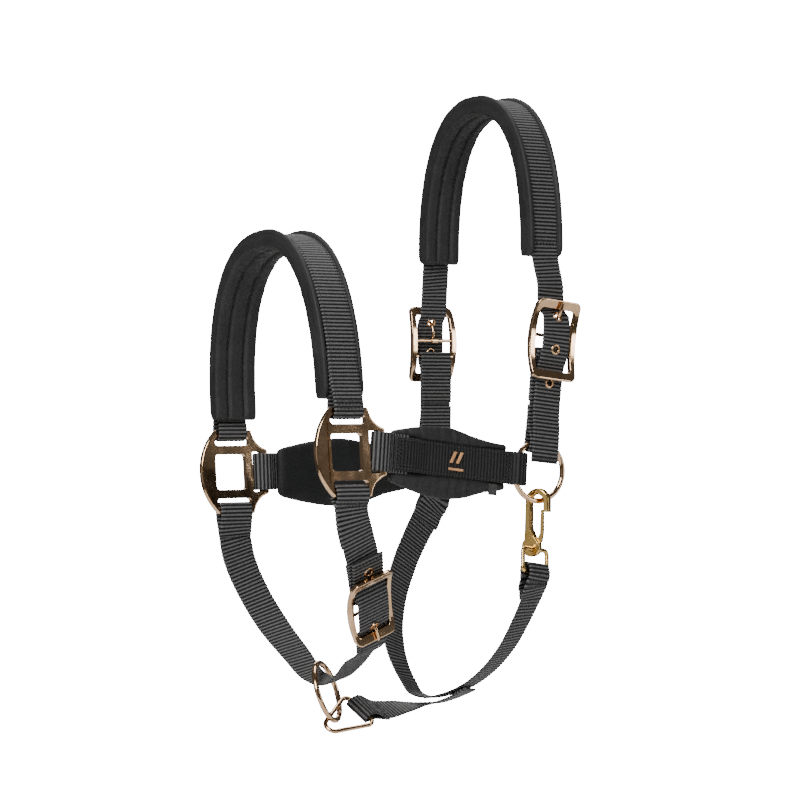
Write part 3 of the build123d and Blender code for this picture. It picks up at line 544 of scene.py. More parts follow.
# how far the near billet stands aside, by its place along the buckle
NEAR_SHIFT = {31: -4.4, 27.5: -3.8, 24: -3.0, 18: -1.4, 11: -0.5}
CROWN_EYELETS = [(4.7, 18), (5.5, -7), (0.95, -33)]
CHIN_BILLET = [(0.0, 31), (0.2, 27.5), (0.4, 24), (4.6, 18), (5.3, 11), (5.4, 3), (5.4, -7), (4.1, -14.5),
               (1.9, -20), (0.95, -24.5), (1.25, -34), (1.3, -47)]
CHIN_EYELETS = [(4.6, 18), (1.25, -34)]
# (outward, up) points of the folds over a square's bottom bar, the snap's eye, the far ring and the link
SQUARE_FOLD = [(-4.5, -3.4), (-4.5, 1.0), (-3.2, 4.2), (0, 5.5), (3.2, 4.2), (4.5, 1.0), (4.5, -3.4)]
EYE_FOLD = [(-4.7, -3.2), (-4.7, 1.6), (-3.3, 4.9), (0, 6.3), (3.3, 4.9), (4.7, 1.6), (4.7, -3.2)]
RING_FOLD = [(3.8, -3.4), (3.8, 4.6), (2.7, 7.3), (0, 8.4), (-2.7, 7.3), (-3.8, 4.6), (-3.8, -3.4)]
LINK_FOLD = [(-3.6, -2.3), (-3.6, 1.1), (-2.5, 3.7), (0, 4.7), (2.5, 3.7), (3.6, 1.1), (3.6, -2.3)]


def outside(strap, inner):
    """Which side of the strap's normal faces away from a point inside, at the middle of the strap."""
    i = len(strap.middle) // 2
    return strap.facing(i, strap.middle[i] - np.array(inner))


def crown_strap():
    """One length of webbing: near billet, over the poll, far billet."""
    rows = [(NEAR_CROWN.at(NEAR_SHIFT.get(v, 0.0), v, n), NEAR_CROWN.x, WEB) for n, v in BILLET[::-1]]
    rows.append((NEAR_CROWN.at(-5.0, 40, -0.8), NEAR_CROWN.x, WEB))
    for y, z in reversed(arch(CROWN_HALF, CROWN_FOOT, CROWN_RISE)):
        rows.append((Vector((0, y, z)), X, WEB))
    rows.append((FAR_CROWN.at(0, 40, -0.8), -FAR_CROWN.x, WEB))
    rows += rows_in(FAR_CROWN, BILLET, WEB, -FAR_CROWN.x)
    strap, parts = sewn(rows)
    outer = outside(strap, Vector((0, 0, -100)))
    billet_length, tail_stitch = 173.0, 3.0
    for distance in (billet_length, -billet_length):
        strap.bartack(parts, distance, outer)
    strap.long_rows(parts, billet_length, strap.length[-1] - billet_length, STITCH_INSET, outer)
    for distance in (tail_stitch, -tail_stitch):
        strap.bartack(parts, distance, outer, rows=1)
    holes = [(face.at(0, v, n), face.z, v > 0)
             for face in (NEAR_CROWN, FAR_CROWN) for n, v in CROWN_EYELETS]
    return finish_strap(parts, "crown_strap", "crown_webbing", holes)


def nose_strap():
    """Noseband webbing, folded round the top bar of each square and sewn back inside."""
    up = SQUARE_TOP - SQUARE_BAR / 2
    loop = 5.0
    slant = loop / sqrt(2)
    reach = SQUARE_ACROSS
    end = [(84.9, 74), (86.1, 60), (86.1, up + 21), (84.2, up + 13), (reach - loop, up + 6),
           (reach - loop, up), (reach - slant, up - slant), (reach, up - loop), (reach + slant, up - slant),
           (reach + loop, up), (reach + loop - 0.5, up + 8), (89.2, up + 19)]
    line = end + arch(NOSE_HALF, NOSE_FOOT, NOSE_RISE, 21)[2:-2] + [(-x, y) for x, y in reversed(end)]
    rows = [(NOSE_CENTRE + ACROSS * x + NOSE_UP * y, X, WEB) for x, y in line]
    strap, parts = sewn(rows)
    outer = outside(strap, NOSE_CENTRE)
    for distance in (62.0, -62.0):
        strap.bartack(parts, distance, outer, rows=3)
    strap.long_rows(parts, 70, strap.length[-1] - 70, STITCH_INSET, outer)
    return finish_strap(parts, "noseband_strap", "noseband_webbing")


def crown_buckle_strap(side, face):
    """Doubled strap from the buckle's strap bar to the cheek ring."""
    half, round_ring = PLY / 2 + PLY_PLAY, 3.7
    outer, inner = STRAP_N + half, STRAP_N - half
    ring_mid = STRAP_N + 0.7
    ring_out, ring_in = ring_mid + round_ring, ring_mid - round_ring
    line = [(inner, -48), (inner, -20), (-3.7, -14), (-2.9, -9.8), (-2.1, -8.0), (-0.3, -7.3), (1.5, -8.0),
            (2.4, -10), (1.3, -12.8), (-0.9, -15.5), (outer, -20), (outer, -44), (outer, -68), (-0.6, -72),
            (ring_out, -77), (ring_out, -83), (ring_out - 1.1, -85.9), (ring_mid, -87),
            (ring_in + 1.1, -85.9), (ring_in, -83), (ring_in, -77), (-5.4, -72), (inner, -67), (inner, -51)]
    # the webbing is gathered where it folds round the ring
    gathered = {12: 28.0, 13: 27.0, 21: 27.0, 22: 28.5, **{i: 26.0 for i in range(14, 21)}}
    rows = [(face.at(0, v, n), face.x, gathered.get(i, WIDE_WEB)) for i, (n, v) in enumerate(line)]
    strap, parts = sewn(rows)
    outer_side = strap.facing(strap.index(60), face.z)
    strap.bartack(parts, 54.0, outer_side)
    strap.bartack(parts, 88.0, outer_side)
    return finish_strap(parts, f"{side}_buckle_strap", f"{side}_crown_buckle_strap")


FRONT_LOOP = [(24, -1.05), (12, -1.05), (7.5, -2.4), (3.1, -4.9), (-3.1, -4.9), (-6.6, -3.4), (-8, 0),
              (-6.6, 3.4), (-3.1, 4.9), (3.1, 4.9), (7.5, 2.4), (12, 1.05), (24, 1.05)]


def front_loop(side, face, turn):
    """Wide loop of webbing round the square's rear bar."""
    rows = [(face.at(u * turn, 0, n), face.y, WIDE_WEB) for u, n in FRONT_LOOP]
    strap, parts = sewn(rows)
    strap.bartack(parts, -10.0, strap.facing(-1, face.z), rows=1)
    return finish_strap(parts, f"{side}_square_loop", f"{side}_cheek_front_loop")


def cheek_length(ring, face):
    """From the square's rear bar to the ring's wire."""
    return (ring - face.origin).length - RING_RADIUS


def cheek_strap(side, face, ring, turn):
    """Cover strap along the cheek, folded round the ring."""
    end = cheek_length(ring, face)
    middle = end + 2.0
    line = [(11, 3.2), (27, 3.2), (33, 2.0), (40, 0.4), (50, 0.1), (end - 24, 0.2), (end - 16, 1.1),
            (end - 8, 1.1), (end - 4, 2.2), (middle - 2.3, 4.9), (middle + 2.3, 4.9), (middle + 5.8, 3.4),
            (middle + 7.2, 0), (middle + 5.8, -3.4), (middle + 2.3, -4.9), (middle - 2.3, -4.9),
            (end - 4, -2.2), (end - 8, -1.1), (end - 20, -1.1)]
    rows = [(face.at(u * turn, 0, n), face.y, WEB) for u, n in line]
    strap, parts = sewn(rows)
    outer = strap.facing(strap.index(50), face.z)
    strap.bartack(parts, 2.0, outer)
    strap.bartack(parts, end - 20.0, outer)
    strap.long_rows(parts, 2, end - 14, 1.9, outer)
    strap.long_rows(parts, 2, 14, 4.5, outer)
    return finish_strap(parts, f"{side}_cheek_strap", f"{side}_cheek_webbing", webbing=CHEEK_WEBBING)


def bar_loop(square):
    """Points from inside a square's bottom bar, over it, and down its outer side."""
    bar = -SQUARE_TOP + SQUARE_BAR / 2
    return [square.at(0, bar + v, n) for n, v in SQUARE_FOLD]


def eased(start, start_direction, end, end_direction, t):
    """A point on the smooth curve between two ends with given directions."""
    reach = (end - start).length
    return (start * (2 * t**3 - 3 * t**2 + 1) + start_direction * (reach * (t**3 - 2 * t**2 + t))
            + end * (3 * t**2 - 2 * t**3) + end_direction * (reach * (t**3 - t**2)))


def nose_buckle_strap():
    """Doubled strap from the near square to the noseband buckle."""
    s = BUCKLE_SCALE
    bar = NEAR_SQUARE.at(0, -SQUARE_TOP + SQUARE_BAR / 2)
    start = bar - NEAR_SQUARE.y * 9.5
    across = -NOSE_FACE.x
    low = NOSE_FACE.at(0.8, -26, STRAP_N)
    middle = [(start, X, NEAR_SQUARE.z)]
    for t in (0.25, 0.5, 0.75):
        spot = eased(start, -NEAR_SQUARE.y, low, NOSE_FACE.y, t)
        normal = (NEAR_SQUARE.z * (1 - t) + NOSE_FACE.z * t).normalized()
        middle.append((spot, X * (1 - t) + across * t, normal))
    middle += [(low, across, NOSE_FACE.z), (NOSE_FACE.at(0, -18 * s, STRAP_N), across, NOSE_FACE.z)]
    half = PLY / 2 + PLY_PLAY
    rows = [(p - z * half, a, CHIN_WEB) for p, a, z in middle[2::-1]]
    rows += [(p, X, CHIN_WEB) for p in bar_loop(NEAR_SQUARE)]
    rows += [(p + z * half, a, CHIN_WEB) for p, a, z in middle]
    eye = [(-0.8, -15.2), (1.4, -12.8), (2.4, -10), (1.5, -8.0), (-0.3, -7.3), (-2.1, -8.0), (-2.9, -9.8),
           (-3.8, -14)]
    rows += [(NOSE_FACE.at(0, (v + 10) - 10 * s, n), across, CHIN_WEB) for n, v in eye]
    rows += [(p - z * half, a, CHIN_WEB) for p, a, z in middle[:2:-1]]
    strap, parts = sewn(rows)
    strap.bartack(parts, 62.0, strap.facing(strap.index(70), NOSE_FACE.z))
    return finish_strap(parts, "nose_buckle_webbing", "noseband_buckle_strap")


CHIN_ROUTE = [(-185.5, 84.2, -330), (-180, 85, -352), (-171, 77, -379), (-163, 62, -402),
              (-156, 38, -424), (-152, 18, -439), (-149.8, 6, -442), (-148.5, -8, -440.5),
              (-148, -26, -431), (-148, -41, -420)]
# width of the webbing where the chin ring gathers it, by point of the route
CHIN_GATHERED = {4: 25.0, 5: 20.8, 6: 19.2, 7: 20.8, 8: 25.0}


def chin_strap():
    """Chin strap: far square, under the jaw through the chin ring, up through the noseband buckle."""
    across = -NOSE_FACE.x
    loop = bar_loop(FAR_SQUARE)
    bar = FAR_SQUARE.at(0, -SQUARE_TOP + SQUARE_BAR / 2)
    rows = [(Vector(CHIN_ROUTE[0]) - Vector((0, 2.1, 3)), X, CHIN_WEB),
            (bar + Vector((0, -3.4, -12)), X, CHIN_WEB)]
    rows += [(p, X, CHIN_WEB) for p in loop]
    for index, point in enumerate(CHIN_ROUTE):
        blend = (index + 0.001) / len(CHIN_ROUTE)
        rows.append((Vector(point), X * (1 - blend) + across * blend, CHIN_GATHERED.get(index, CHIN_WEB)))
    rows.append((NOSE_FACE.at(0, 40, -1.0), across, CHIN_WEB))
    rows += rows_in(NOSE_FACE, CHIN_BILLET, CHIN_WEB, across, BUCKLE_SCALE)
    strap, parts = sewn(rows)
    strap.bartack(parts, 52.0, strap.facing(strap.index(50), (0, 1, 0)))
    strap.bartack(parts, -3.0, strap.facing(-1, NOSE_FACE.z), rows=1)
    holes = [(NOSE_FACE.at(0, v * BUCKLE_SCALE, n), NOSE_FACE.z, v > 0) for n, v in CHIN_EYELETS]
    return finish_strap(parts, "chin_webbing", "chin_strap", holes)


SNAP = Face(NEAR_RING - Vector((0, 0, RING_RADIUS)), (0.5, -0.866, 0), (-0.866, -0.5, 0))
EYE_ACROSS = Vector((0.956, 0.261, -0.14)).normalized()
EYE_UP = Vector((0.10, 0.156, 0.983))
EYE_UP = (EYE_UP - EYE_ACROSS * EYE_UP.dot(EYE_ACROSS)).normalized()
EYE_BOTTOM = SNAP.at(-3, -37.5) - EYE_UP * 17.5
THROAT_NEAR = [(-12.6, -76, -378), (-15, -67.5, -394), (-19, -52, -418), (-25, -35, -437),
               (-33, -19, -450), (-43.5, -7, -457)]
THROAT_BOTTOM = (-55, 3, -460)
THROAT_FAR = [(-58.8, 16, -457.5), (-59.5, 28, -448), (-61, 39, -432.5), (-57, 53, -410.5),
              (-49, 62.5, -387.5), (-35.5, 70, -361), (-18.2, 75, -334), (-7.8, 77.5, -320)]
# the tail is sewn back inside the strap, below the far ring
THROAT_TAIL = [(-5.3, 75.4, -316), (-12.3, 73.6, -326.5)]


def throat_strap():
    """Throat strap: snap eye, under the throat, up to the far ring."""
    near, bottom = EYE_ACROSS, Vector((0.76, 0.64, -0.09)).normalized()
    out = EYE_ACROSS.cross(EYE_UP)
    wire = FAR_RING - Vector((0, 0, RING_RADIUS))
    top = Vector(THROAT_NEAR[0])
    rows = [(top - out * 2.2 - EYE_UP * 3, near, WEB), (top - out * 2.3 + EYE_UP * 6, near, WEB)]
    for n, v in EYE_FOLD:
        rows.append((EYE_BOTTOM + out * n + EYE_UP * v, near, WEB - 0.6))
    rows.append((EYE_BOTTOM + out * 1.6 - EYE_UP * 9, near, WEB))
    for index, point in enumerate(THROAT_NEAR):
        blend = (index + 1) / (len(THROAT_NEAR) + 1)
        rows.append((Vector(point), near * (1 - blend) + bottom * blend, WEB))
    rows.append((Vector(THROAT_BOTTOM), bottom, WEB))
    for index, point in enumerate(THROAT_FAR):
        blend = (index + 1) / len(THROAT_FAR)
        rows.append((Vector(point), bottom * (1 - blend) + X * blend, WEB))
    for n, v in RING_FOLD:
        rows.append((wire + Vector((-0.5, n, v)), X, WEB))
    rows += [(Vector(point), X, WEB) for point in THROAT_TAIL]
    strap, parts = sewn(rows)
    outer = strap.facing(strap.index(50), out)
    strap.bartack(parts, 50.0, outer)
    strap.bartack(parts, -36.0, outer)
    return finish_strap(parts, "throat_webbing", "throat_strap")


LINK_BASE = Vector((-119.5, 2, -465.4))
LINK_WIDTH_DIR = Vector((0.338, -0.735, -0.587)).normalized()
LINK_TIP_DIR = Vector((-0.930, -0.164, -0.329)).normalized()
CONNECT_ROUTE = [(-97, 7, -467.5), (-79, 7.5, -466.6), (-62, 4.0, -465.4), (-50, -3.5, -463.6),
                 (-41.5, -11.5, -459.6), (-33.5, -22, -452.9)]
CONNECT_WIDTHS = [(0.1, -0.88, -0.45), (-0.2, -0.93, -0.25), (-0.6, -0.8, 0), (-0.76, -0.64, 0.09),
                  (-0.8, -0.6, 0.09), (-0.85, -0.5, 0.1)]


def connecting_strap():
    """Short strap from the chin link to the throat strap."""
    width = LINK_WIDTH_DIR
    up = width.cross(-LINK_TIP_DIR)
    rows = [(Vector(CONNECT_ROUTE[0]) - up * 2.2, Vector(CONNECT_WIDTHS[0]), WEB - 1)]
    for n, v in LINK_FOLD:
        rows.append((LINK_BASE + up * n + LINK_TIP_DIR * v, width, WEB - 3.5))
    for point, across in zip(CONNECT_ROUTE, CONNECT_WIDTHS):
        rows.append((Vector(point), Vector(across), WEB))
    strap, parts = sewn(rows)
    strap.bartack(parts, 56.0, strap.facing(strap.index(60), (0, 0, 1)))
    return finish_strap(parts, "chin_connector", "connecting_strap")


# ------------------------ the pads

def lofted(sections):
    """Mesh parts of a tube through rings of points, with its ends closed."""
    count, ring = len(sections), len(sections[0])
    parts = MeshParts()
    faces = []
    for row in range(count - 1):
        for j in range(ring):
            k = (j + 1) % ring
            faces.append((row * ring + j, row * ring + k, (row + 1) * ring + k, (row + 1) * ring + j))
    half = ring // 2
    for start, flip in ((0, False), ((count - 1) * ring, True)):
        for j in range(half - 1):
            cap = (start + j, start + ring - 1 - j, start + ring - 2 - j, start + j + 1)
            faces.append(cap[::-1] if flip else cap)
    parts.add([tuple(p) for section in sections for p in section], faces)
    return parts


SWELL_FRAMES = 20


def inflate(piece, pinned, cap):
    """Let the cover swell between its seams: pressure, no gravity, seams pinned, movement capped."""
    group = piece.vertex_groups.new(name="seams")
    group.add(pinned, 1.0, "REPLACE")
    modifier = piece.modifiers.new("Swell", "CLOTH")
    settings = modifier.settings
    settings.use_pressure = True
    settings.uniform_pressure_force = 4.0
    settings.effector_weights.gravity = 0.0
    settings.vertex_group_mass = "seams"
    settings.tension_stiffness = 12
    settings.compression_stiffness = 12
    settings.bending_stiffness = 0.4
    modifier.point_cache.frame_start = 1
    modifier.point_cache.frame_end = SWELL_FRAMES
    scene = bpy.context.scene
    for step in range(1, SWELL_FRAMES + 1):
        scene.frame_set(step)
    rest = np.array([v.co for v in piece.data.vertices])
    held = piece.evaluated_get(bpy.context.evaluated_depsgraph_get())
    swollen = np.array([v.co for v in held.data.vertices])
    scene.frame_set(1)
    piece.modifiers.remove(modifier)
    piece.vertex_groups.remove(group)
    if len(swollen) != len(rest) or not np.isfinite(swollen).all():
        return
    move = swollen - rest
    size = np.linalg.norm(move, axis=1, keepdims=True)
    move *= np.minimum(1.0, cap * MM / np.maximum(size, 1e-9))
    piece.data.vertices.foreach_set("co", (rest + move).astype(np.float32).ravel())
    piece.data.update()


def smooth_once(piece):
    """Apply one subdivision."""
    modifier = piece.modifiers.new("Smooth", "SUBSURF")
    modifier.levels = modifier.render_levels = 1
    held = piece.evaluated_get(bpy.context.evaluated_depsgraph_get())
    mesh = bpy.data.meshes.new_from_object(held)
    piece.modifiers.clear()
    piece.data = mesh


ARCH_RING = 64
# shares of an arched pad's width: from its middle to a sewn channel, and to the edge of the webbing
CHANNEL, WEB_EDGE = 0.19, 0.34


def arch_section(width, thick, proud, dip):
    """(across, outward) outline of an arched pad: edge rolls outside, two sewn channels inside."""
    half = width / 2
    roll_start, roll_span, channel_depth = 0.80, 0.20, 2.9
    outline = []
    for k in range(ARCH_RING // 2):
        x = -half + (k + 0.5) * width / (ARCH_RING // 2)
        share = abs(x) / half
        roll = max(1 - ((share - roll_start) / roll_span) ** 2, 0.0) ** 0.5 if share > 0.6 else 0.0
        outer = thick / 2 - dip + (proud + dip) * roll
        if share > 0.93:
            outer = min(outer, thick / 2)
        outline.append((x, outer))
    for k in reversed(range(ARCH_RING // 2)):
        x = -half + (k + 0.5) * width / (ARCH_RING // 2)
        share = abs(x) / half
        edge = max(1 - share**6, 0.0) ** 0.5
        groove = np.exp(-(abs(x) - width * CHANNEL) ** 2)
        wave = abs(sin(pi * (x / width) / (2 * CHANNEL) + pi / 2)) if abs(x) < width * CHANNEL else edge
        inner = -(thick / 2 - 0.6) * (0.35 + 0.65 * edge) - 0.9 * wave * edge + channel_depth * groove
        outline.append((x, inner))
    return outline


def puckers(s, x, seed):
    """Small gathers across the roll, stronger towards its inner edge."""
    wave = abs(sin(s * pi / 8.3 + seed + x * 0.05)) + 0.7 * abs(sin(s * pi / 5.7 + 1.7 * seed + x * 0.12))
    return 1.1 * (wave - 1.0) + 0.3 * sin(s * 2 * pi / 23.0 + 2.3 * seed)


def arch_pad(name, origin, across, up, half, foot, rise, width, thick, proud, nodes):
    """Arched bolster; the sections stand square to its middle line."""
    line = [(*(origin + across * x + up * y), 0.0) for x, y in arch(half, foot, rise)]
    samples, length = bent_line(line, 2.4)
    middle = samples[:, :3]
    along = unit(np.gradient(middle, axis=0))
    outward = np.cross(np.array((1.0, 0, 0)), along)
    if np.dot(outward[len(outward) // 2], np.array(up)) < 0:
        outward = -outward
    total = length[-1]
    sections, pinned = [], []
    for row, s in enumerate(length):
        near_end = min(s, total - s)
        squeeze = min(1.0, 0.62 + 0.38 * sqrt(min(near_end / 7.0, 1.0)))
        crest = sin(pi * s / total) ** 2
        ring = []
        for index, (x, t) in enumerate(arch_section(width, thick, proud, 0.9)):
            fold = puckers(s, x, 2.0 if x > 0 else 0.4) * (0.2 if t > 0 else 0.6) * (0.3 + crest)
            if t > 0 and abs(x) < width * WEB_EDGE:
                fold = 0.0
            t = t * squeeze + (fold if t > 0 else -fold)
            x = x * (0.94 + 0.06 * squeeze)
            ring.append(middle[row] + np.array((1.0, 0, 0)) * x + outward[row] * t)
            if 8 < near_end and not seam_point(x, t, width):
                continue
            pinned.append(row * ARCH_RING + index)
        sections.append(ring)
    piece = lofted(sections).build(name, [PADDING])
    inflate(piece, pinned, 1.2)
    smooth_once(piece)
    return finish_piece(piece, "headcollar", "black_padding", *nodes)


def seam_point(x, t, width):
    """True on the sewn channels and under the webbing."""
    return (t > 0 and abs(x) < width * WEB_EDGE) or (t < 0 and abs(abs(x) - width * CHANNEL) < 0.9)


PAD_TOP = [(0, 17.5), (27, 23), (55, 25), (80, 20.3), (97, 18.0), (110, 17.6)]
PAD_BOTTOM = [(0, -20), (20, -25.3), (46, -29.4), (69, -27.5), (92, -20.8), (110, -17.6)]
PAD_START = 10.0
PAD_LENGTH = 110
CHEEK_RING = 52


def seamed(n, u, v, s):
    """Height of a cheek pad's cover: pressed in under the strap, raised beside it, folded on its flaps."""
    pressed, pressed_edge, raised, raised_middle, raised_spread, fold = 2.3, 12.9, 1.3, 16.2, 2.6, 0.85
    if s > 0:
        n -= pressed * (1 / (1 + np.exp((abs(v) - pressed_edge) / 0.5)))
        n += raised * np.exp(-((abs(v) - raised_middle) / raised_spread) ** 2)
    flap = max(abs(v) - WEB / 2, 0.0) / 12.0
    long_wave = sin(u * 2 * pi / 9.7 + (1.3 if v > 0 else 0.2))
    tug = long_wave * (0.6 + 0.4 * sin(u * 0.11 + 1)) + 0.5 * sin(u * 2 * pi / 5.9 + 2.1)
    return n + fold * tug * sin(pi * min(flap / 1.35, 1.0)) * (1 if s > 0 else -0.4)


def cheek_section(face, u, high, low, scale, turn):
    """One ring of points across a cheek pad, and the numbers of those that its seams hold."""
    end = min(u, PAD_LENGTH - u)
    squeeze = 0.45 + 0.55 * sqrt(min(end / 5.0, 1.0))
    corner = 0.84 + 0.16 * sqrt(1 - (1 - min(end / 5.5, 1.0)) ** 2)
    wide = (high - low) / 2
    section, held = [], []
    for k in range(CHEEK_RING):
        angle = 2 * pi * (k + 0.5) / CHEEK_RING
        c, s = cos(angle), sin(angle)
        v = (high + low) / 2 + wide * corner * signed_power(c, 0.75)
        n = signed_power(s, 0.6) * 4.6 * squeeze
        section.append(face.at((PAD_START + u * scale) * turn, v, seamed(n, u, v, s) - 4.5))
        under_strap = s > 0 and abs(v) < 12.6
        if under_strap or end < 3:
            held.append(k)
    return section, held


def cheek_pad(side, face, ring, turn):
    """Leaf-shaped cheek pad: full above and below the cover strap, drawn in along its seams."""
    scale = (cheek_length(ring, face) - 17) / PAD_LENGTH
    top, _ = bent_line([(u, v, 0) for u, v in PAD_TOP], 0.5)
    bottom, _ = bent_line([(u, v, 0) for u, v in PAD_BOTTOM], 0.5)
    sections, pinned = [], []
    for row, u in enumerate(np.linspace(0, PAD_LENGTH, 56)):
        high, low = np.interp(u, top[:, 0], top[:, 1]), np.interp(u, bottom[:, 0], bottom[:, 1])
        section, held = cheek_section(face, u, high, low, scale, turn)
        sections.append(section)
        pinned += [row * CHEEK_RING + k for k in held]
    parts = lofted(sections)
    # the inner half of every ring takes the darker copy of the cover: painted shade on the inner faces
    for index, corners in enumerate(parts.faces):
        parts.finish[index] = 1 if corners[0] % CHEEK_RING >= CHEEK_RING // 2 else 0
    piece = parts.build(f"{side}_cheek_pad", [PADDING, SHADED_INNER_COVER])
    flip_out(piece)
    inflate(piece, pinned, 1.3)
    smooth_once(piece)
    return finish_piece(piece, "headcollar", "black_padding", f"{side}_cheek_pad_cover",
                        f"{side}_cheek_pad_foam")


def flip_out(piece):
    """Turn every face outward."""
    work = bmesh.new()
    work.from_mesh(piece.data)
    bmesh.ops.recalc_face_normals(work, faces=work.faces)
    work.to_mesh(piece.data)
    work.free()


# ------------------------ sewn details

def motif():
    """Satin-stitched generic mark: two leaning bars over a plain line."""
    parts = MeshParts()
    height = PLY / 2 + 0.25
    lean = radians(-25)
    bar_steps, bar_length, line_steps, line_length = 18, 9, 26, 13
    for centre in (66, 72):
        for step in range(bar_steps + 1):
            reach = (step / bar_steps - 0.5) * bar_length
            u = centre - sin(lean) * reach
            v = 2.5 + cos(lean) * reach
            stitch(parts, np.array(NEAR_CHEEK.at(u, v, height)), NEAR_CHEEK.x, NEAR_CHEEK.z, 3.3, 0.36, 0)
    for step in range(line_steps + 1):
        u = 69 + (step / line_steps - 0.5) * line_length
        stitch(parts, np.array(NEAR_CHEEK.at(u, -6.5, height)), NEAR_CHEEK.y, NEAR_CHEEK.z, 2.0, 0.34, 0)
    return finish_piece(parts.build("embroidered_motif", [ROSE_THREAD]), "headcollar", "motif_thread",
                        "cheek_motif")


def tag():
    """Folded blank tag in the lower seam of the near cheek pad."""
    steps, corners, start, drop, half = 12, 20, -13.5, 9.0, 4.2
    sections = []
    for step in range(steps + 1):
        v = start - drop * step / steps
        thick = 0.55 + 0.12 * sin(step * 0.9) if step < steps else 0.3
        section = []
        for k in range(corners):
            angle = 2 * pi * (k + 0.5) / corners
            u = 106 + half * signed_power(cos(angle), 0.35)
            swell = thick * signed_power(sin(angle), 0.6)
            section.append(NEAR_CHEEK.at(u, v, -0.2 + swell + 0.25 * sin(step * 0.5)))
        sections.append(section)
    piece = lofted(sections).build("folded_tag", [TAG_CLOTH])
    flip_out(piece)
    return finish_piece(piece, "headcollar", "tag_cloth", "cheek_tag")


# ------------------------ hardware carried over from the CAD

def plate_hardware():
    """Plating on every metal node that is shown."""
    for name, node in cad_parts.items():
        if node.hide_render:
            continue
        if "eyelets" in name:
            material = EYELET
        elif name.startswith("snap"):
            material = BRASS
        else:
            material = ROSE_GOLD
        for place in node.material_slots:
            place.material = material


# ------------------------ floor, light and camera

SKY = [(0.0, 0.9), (0.16, 0.35), (0.32, 0.1), (0.5, 0.2), (0.7, 0.14), (0.92, 0.2)]
# name, place, power, size and colour
LIGHTS = [("key", (-1.7, -1.2, 1.0), 62, (0.9, 1.3), (1, 1, 1)),
          ("strip", (1.25, -1.7, 0.05), 6, (0.22, 1.0), (1, 1, 1)),
          ("top", (0.2, 0.4, 1.6), 29, (1.4, 1.0), (1, 1, 1)),
          ("side", (-2.3, -0.25, -0.3), 1.6, (1.3, 0.9), (1, 1, 1)),
          ("back", (0.8, 1.9, 0.5), 16, (1.2, 1.0), (1, 1, 1))]
LIT_SPOT = (-0.08, 0, -0.25)
CAMERA_SPOT, CAMERA_DIRECTION = (-1.1903, -1.703, -0.226), (0.5446, 0.8387, 0)


def pale_floor():
    material, tree, shader = new_material("pale_floor")
    place = tree.nodes.new("ShaderNodeTexCoord").outputs["Object"]
    grain = noise(tree, place, 40, 3.0)
    tree.links.new(ramp(tree, grain, [(0.3, 0.93), (0.7, 0.96)]), shader.inputs["Base Color"])
    tree.links.new(ramp(tree, grain, [(0.3, 0.7), (0.7, 0.8)]), shader.inputs["Roughness"])
    bpy.ops.mesh.primitive_circle_add(vertices=96, radius=1.3, fill_type="NGON", location=(0, 0, -0.75))
    floor = bpy.context.object
    floor.name = "pale_floor"
    floor.data.materials.append(material)


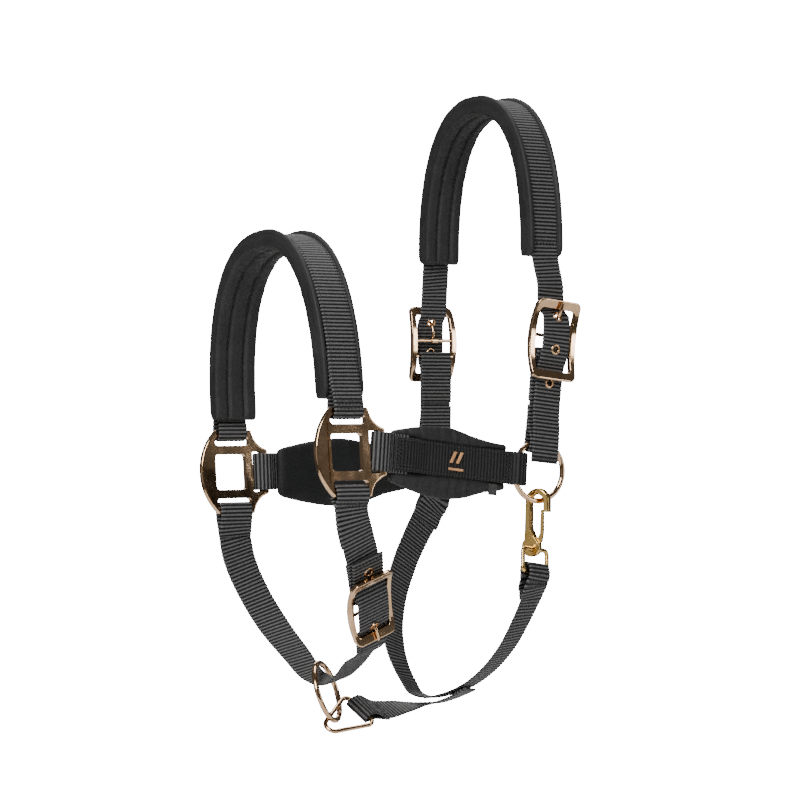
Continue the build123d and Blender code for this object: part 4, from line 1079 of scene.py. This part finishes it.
def soft_sky():
    """A dim graded sky that lights the object, and plain white where the camera sees it."""
    world = bpy.data.worlds.new("studio")
    bpy.context.scene.world = world
    world.use_nodes = True
    tree = world.node_tree
    soft = tree.nodes["Background"]
    soft.inputs["Strength"].default_value = 0.55
    seen = add_node(tree, "ShaderNodeBackground", Color=(1, 1, 1, 1), Strength=25.0)
    place = tree.nodes.new("ShaderNodeTexCoord").outputs["Generated"]
    split = tree.nodes.new("ShaderNodeSeparateXYZ")
    tree.links.new(place, split.inputs[0])
    height = math(tree, "MULTIPLY_ADD", split.outputs["Z"], 0.5, 0.5)
    tree.links.new(ramp(tree, height, SKY), soft.inputs["Color"])
    path = tree.nodes.new("ShaderNodeLightPath").outputs["Is Camera Ray"]
    both = tree.nodes.new("ShaderNodeMixShader")
    tree.links.new(path, both.inputs[0])
    tree.links.new(soft.outputs[0], both.inputs[1])
    tree.links.new(seen.outputs[0], both.inputs[2])
    tree.links.new(both.outputs[0], tree.nodes["World Output"].inputs["Surface"])


def soft_lights():
    for name, spot, power, size, colour in LIGHTS:
        light = bpy.data.lights.new(name, "AREA")
        light.energy = power
        light.shape = "RECTANGLE"
        light.size, light.size_y = size
        light.color = colour
        lamp = bpy.data.objects.new(name, light)
        lamp.location = spot
        lamp.rotation_euler = (Vector(LIT_SPOT) - Vector(spot)).to_track_quat("-Z", "Y").to_euler()
        bpy.context.scene.collection.objects.link(lamp)


def photo_camera():
    data = bpy.data.cameras.new("photo_view")
    data.lens = 117
    data.sensor_width = 36
    data.clip_end = 200
    camera = bpy.data.objects.new("photo_view", data)
    camera.location = CAMERA_SPOT
    camera.rotation_euler = Vector(CAMERA_DIRECTION).to_track_quat("-Z", "Y").to_euler()
    bpy.context.scene.collection.objects.link(camera)
    bpy.context.scene.camera = camera


# ------------------------ build

crown_strap()
nose_strap()
for side, face in (("near", NEAR_CROWN), ("far", FAR_CROWN)):
    crown_buckle_strap(side, face)
for side, face, ring, turn in (("near", NEAR_CHEEK, NEAR_RING, 1), ("far", FAR_CHEEK, FAR_RING, -1)):
    front_loop(side, face, turn)
    cheek_strap(side, face, ring, turn)
    cheek_pad(side, face, ring, turn)
nose_buckle_strap()
chin_strap()
throat_strap()
connecting_strap()
arch_pad("noseband_pad", NOSE_CENTRE, ACROSS, NOSE_UP,
         half=NOSE_HALF - 10.1, foot=NOSE_FOOT + 3, rise=NOSE_RISE - 8.9, width=38.0, thick=9.0, proud=6.0,
         nodes=("noseband_pad_cover", "noseband_pad_foam"))
arch_pad("crown_pad", Vector((0, 0, 0)), Vector((0, 1, 0)), Vector((0, 0, 1)),
         half=CROWN_HALF - 6.8, foot=CROWN_FOOT, rise=CROWN_RISE - 6.7, width=34.5, thick=10.6, proud=5.4,
         nodes=("crown_pad_cover", "crown_pad_foam"))
motif()
tag()
plate_hardware()
pale_floor()
soft_sky()
soft_lights()
photo_camera()
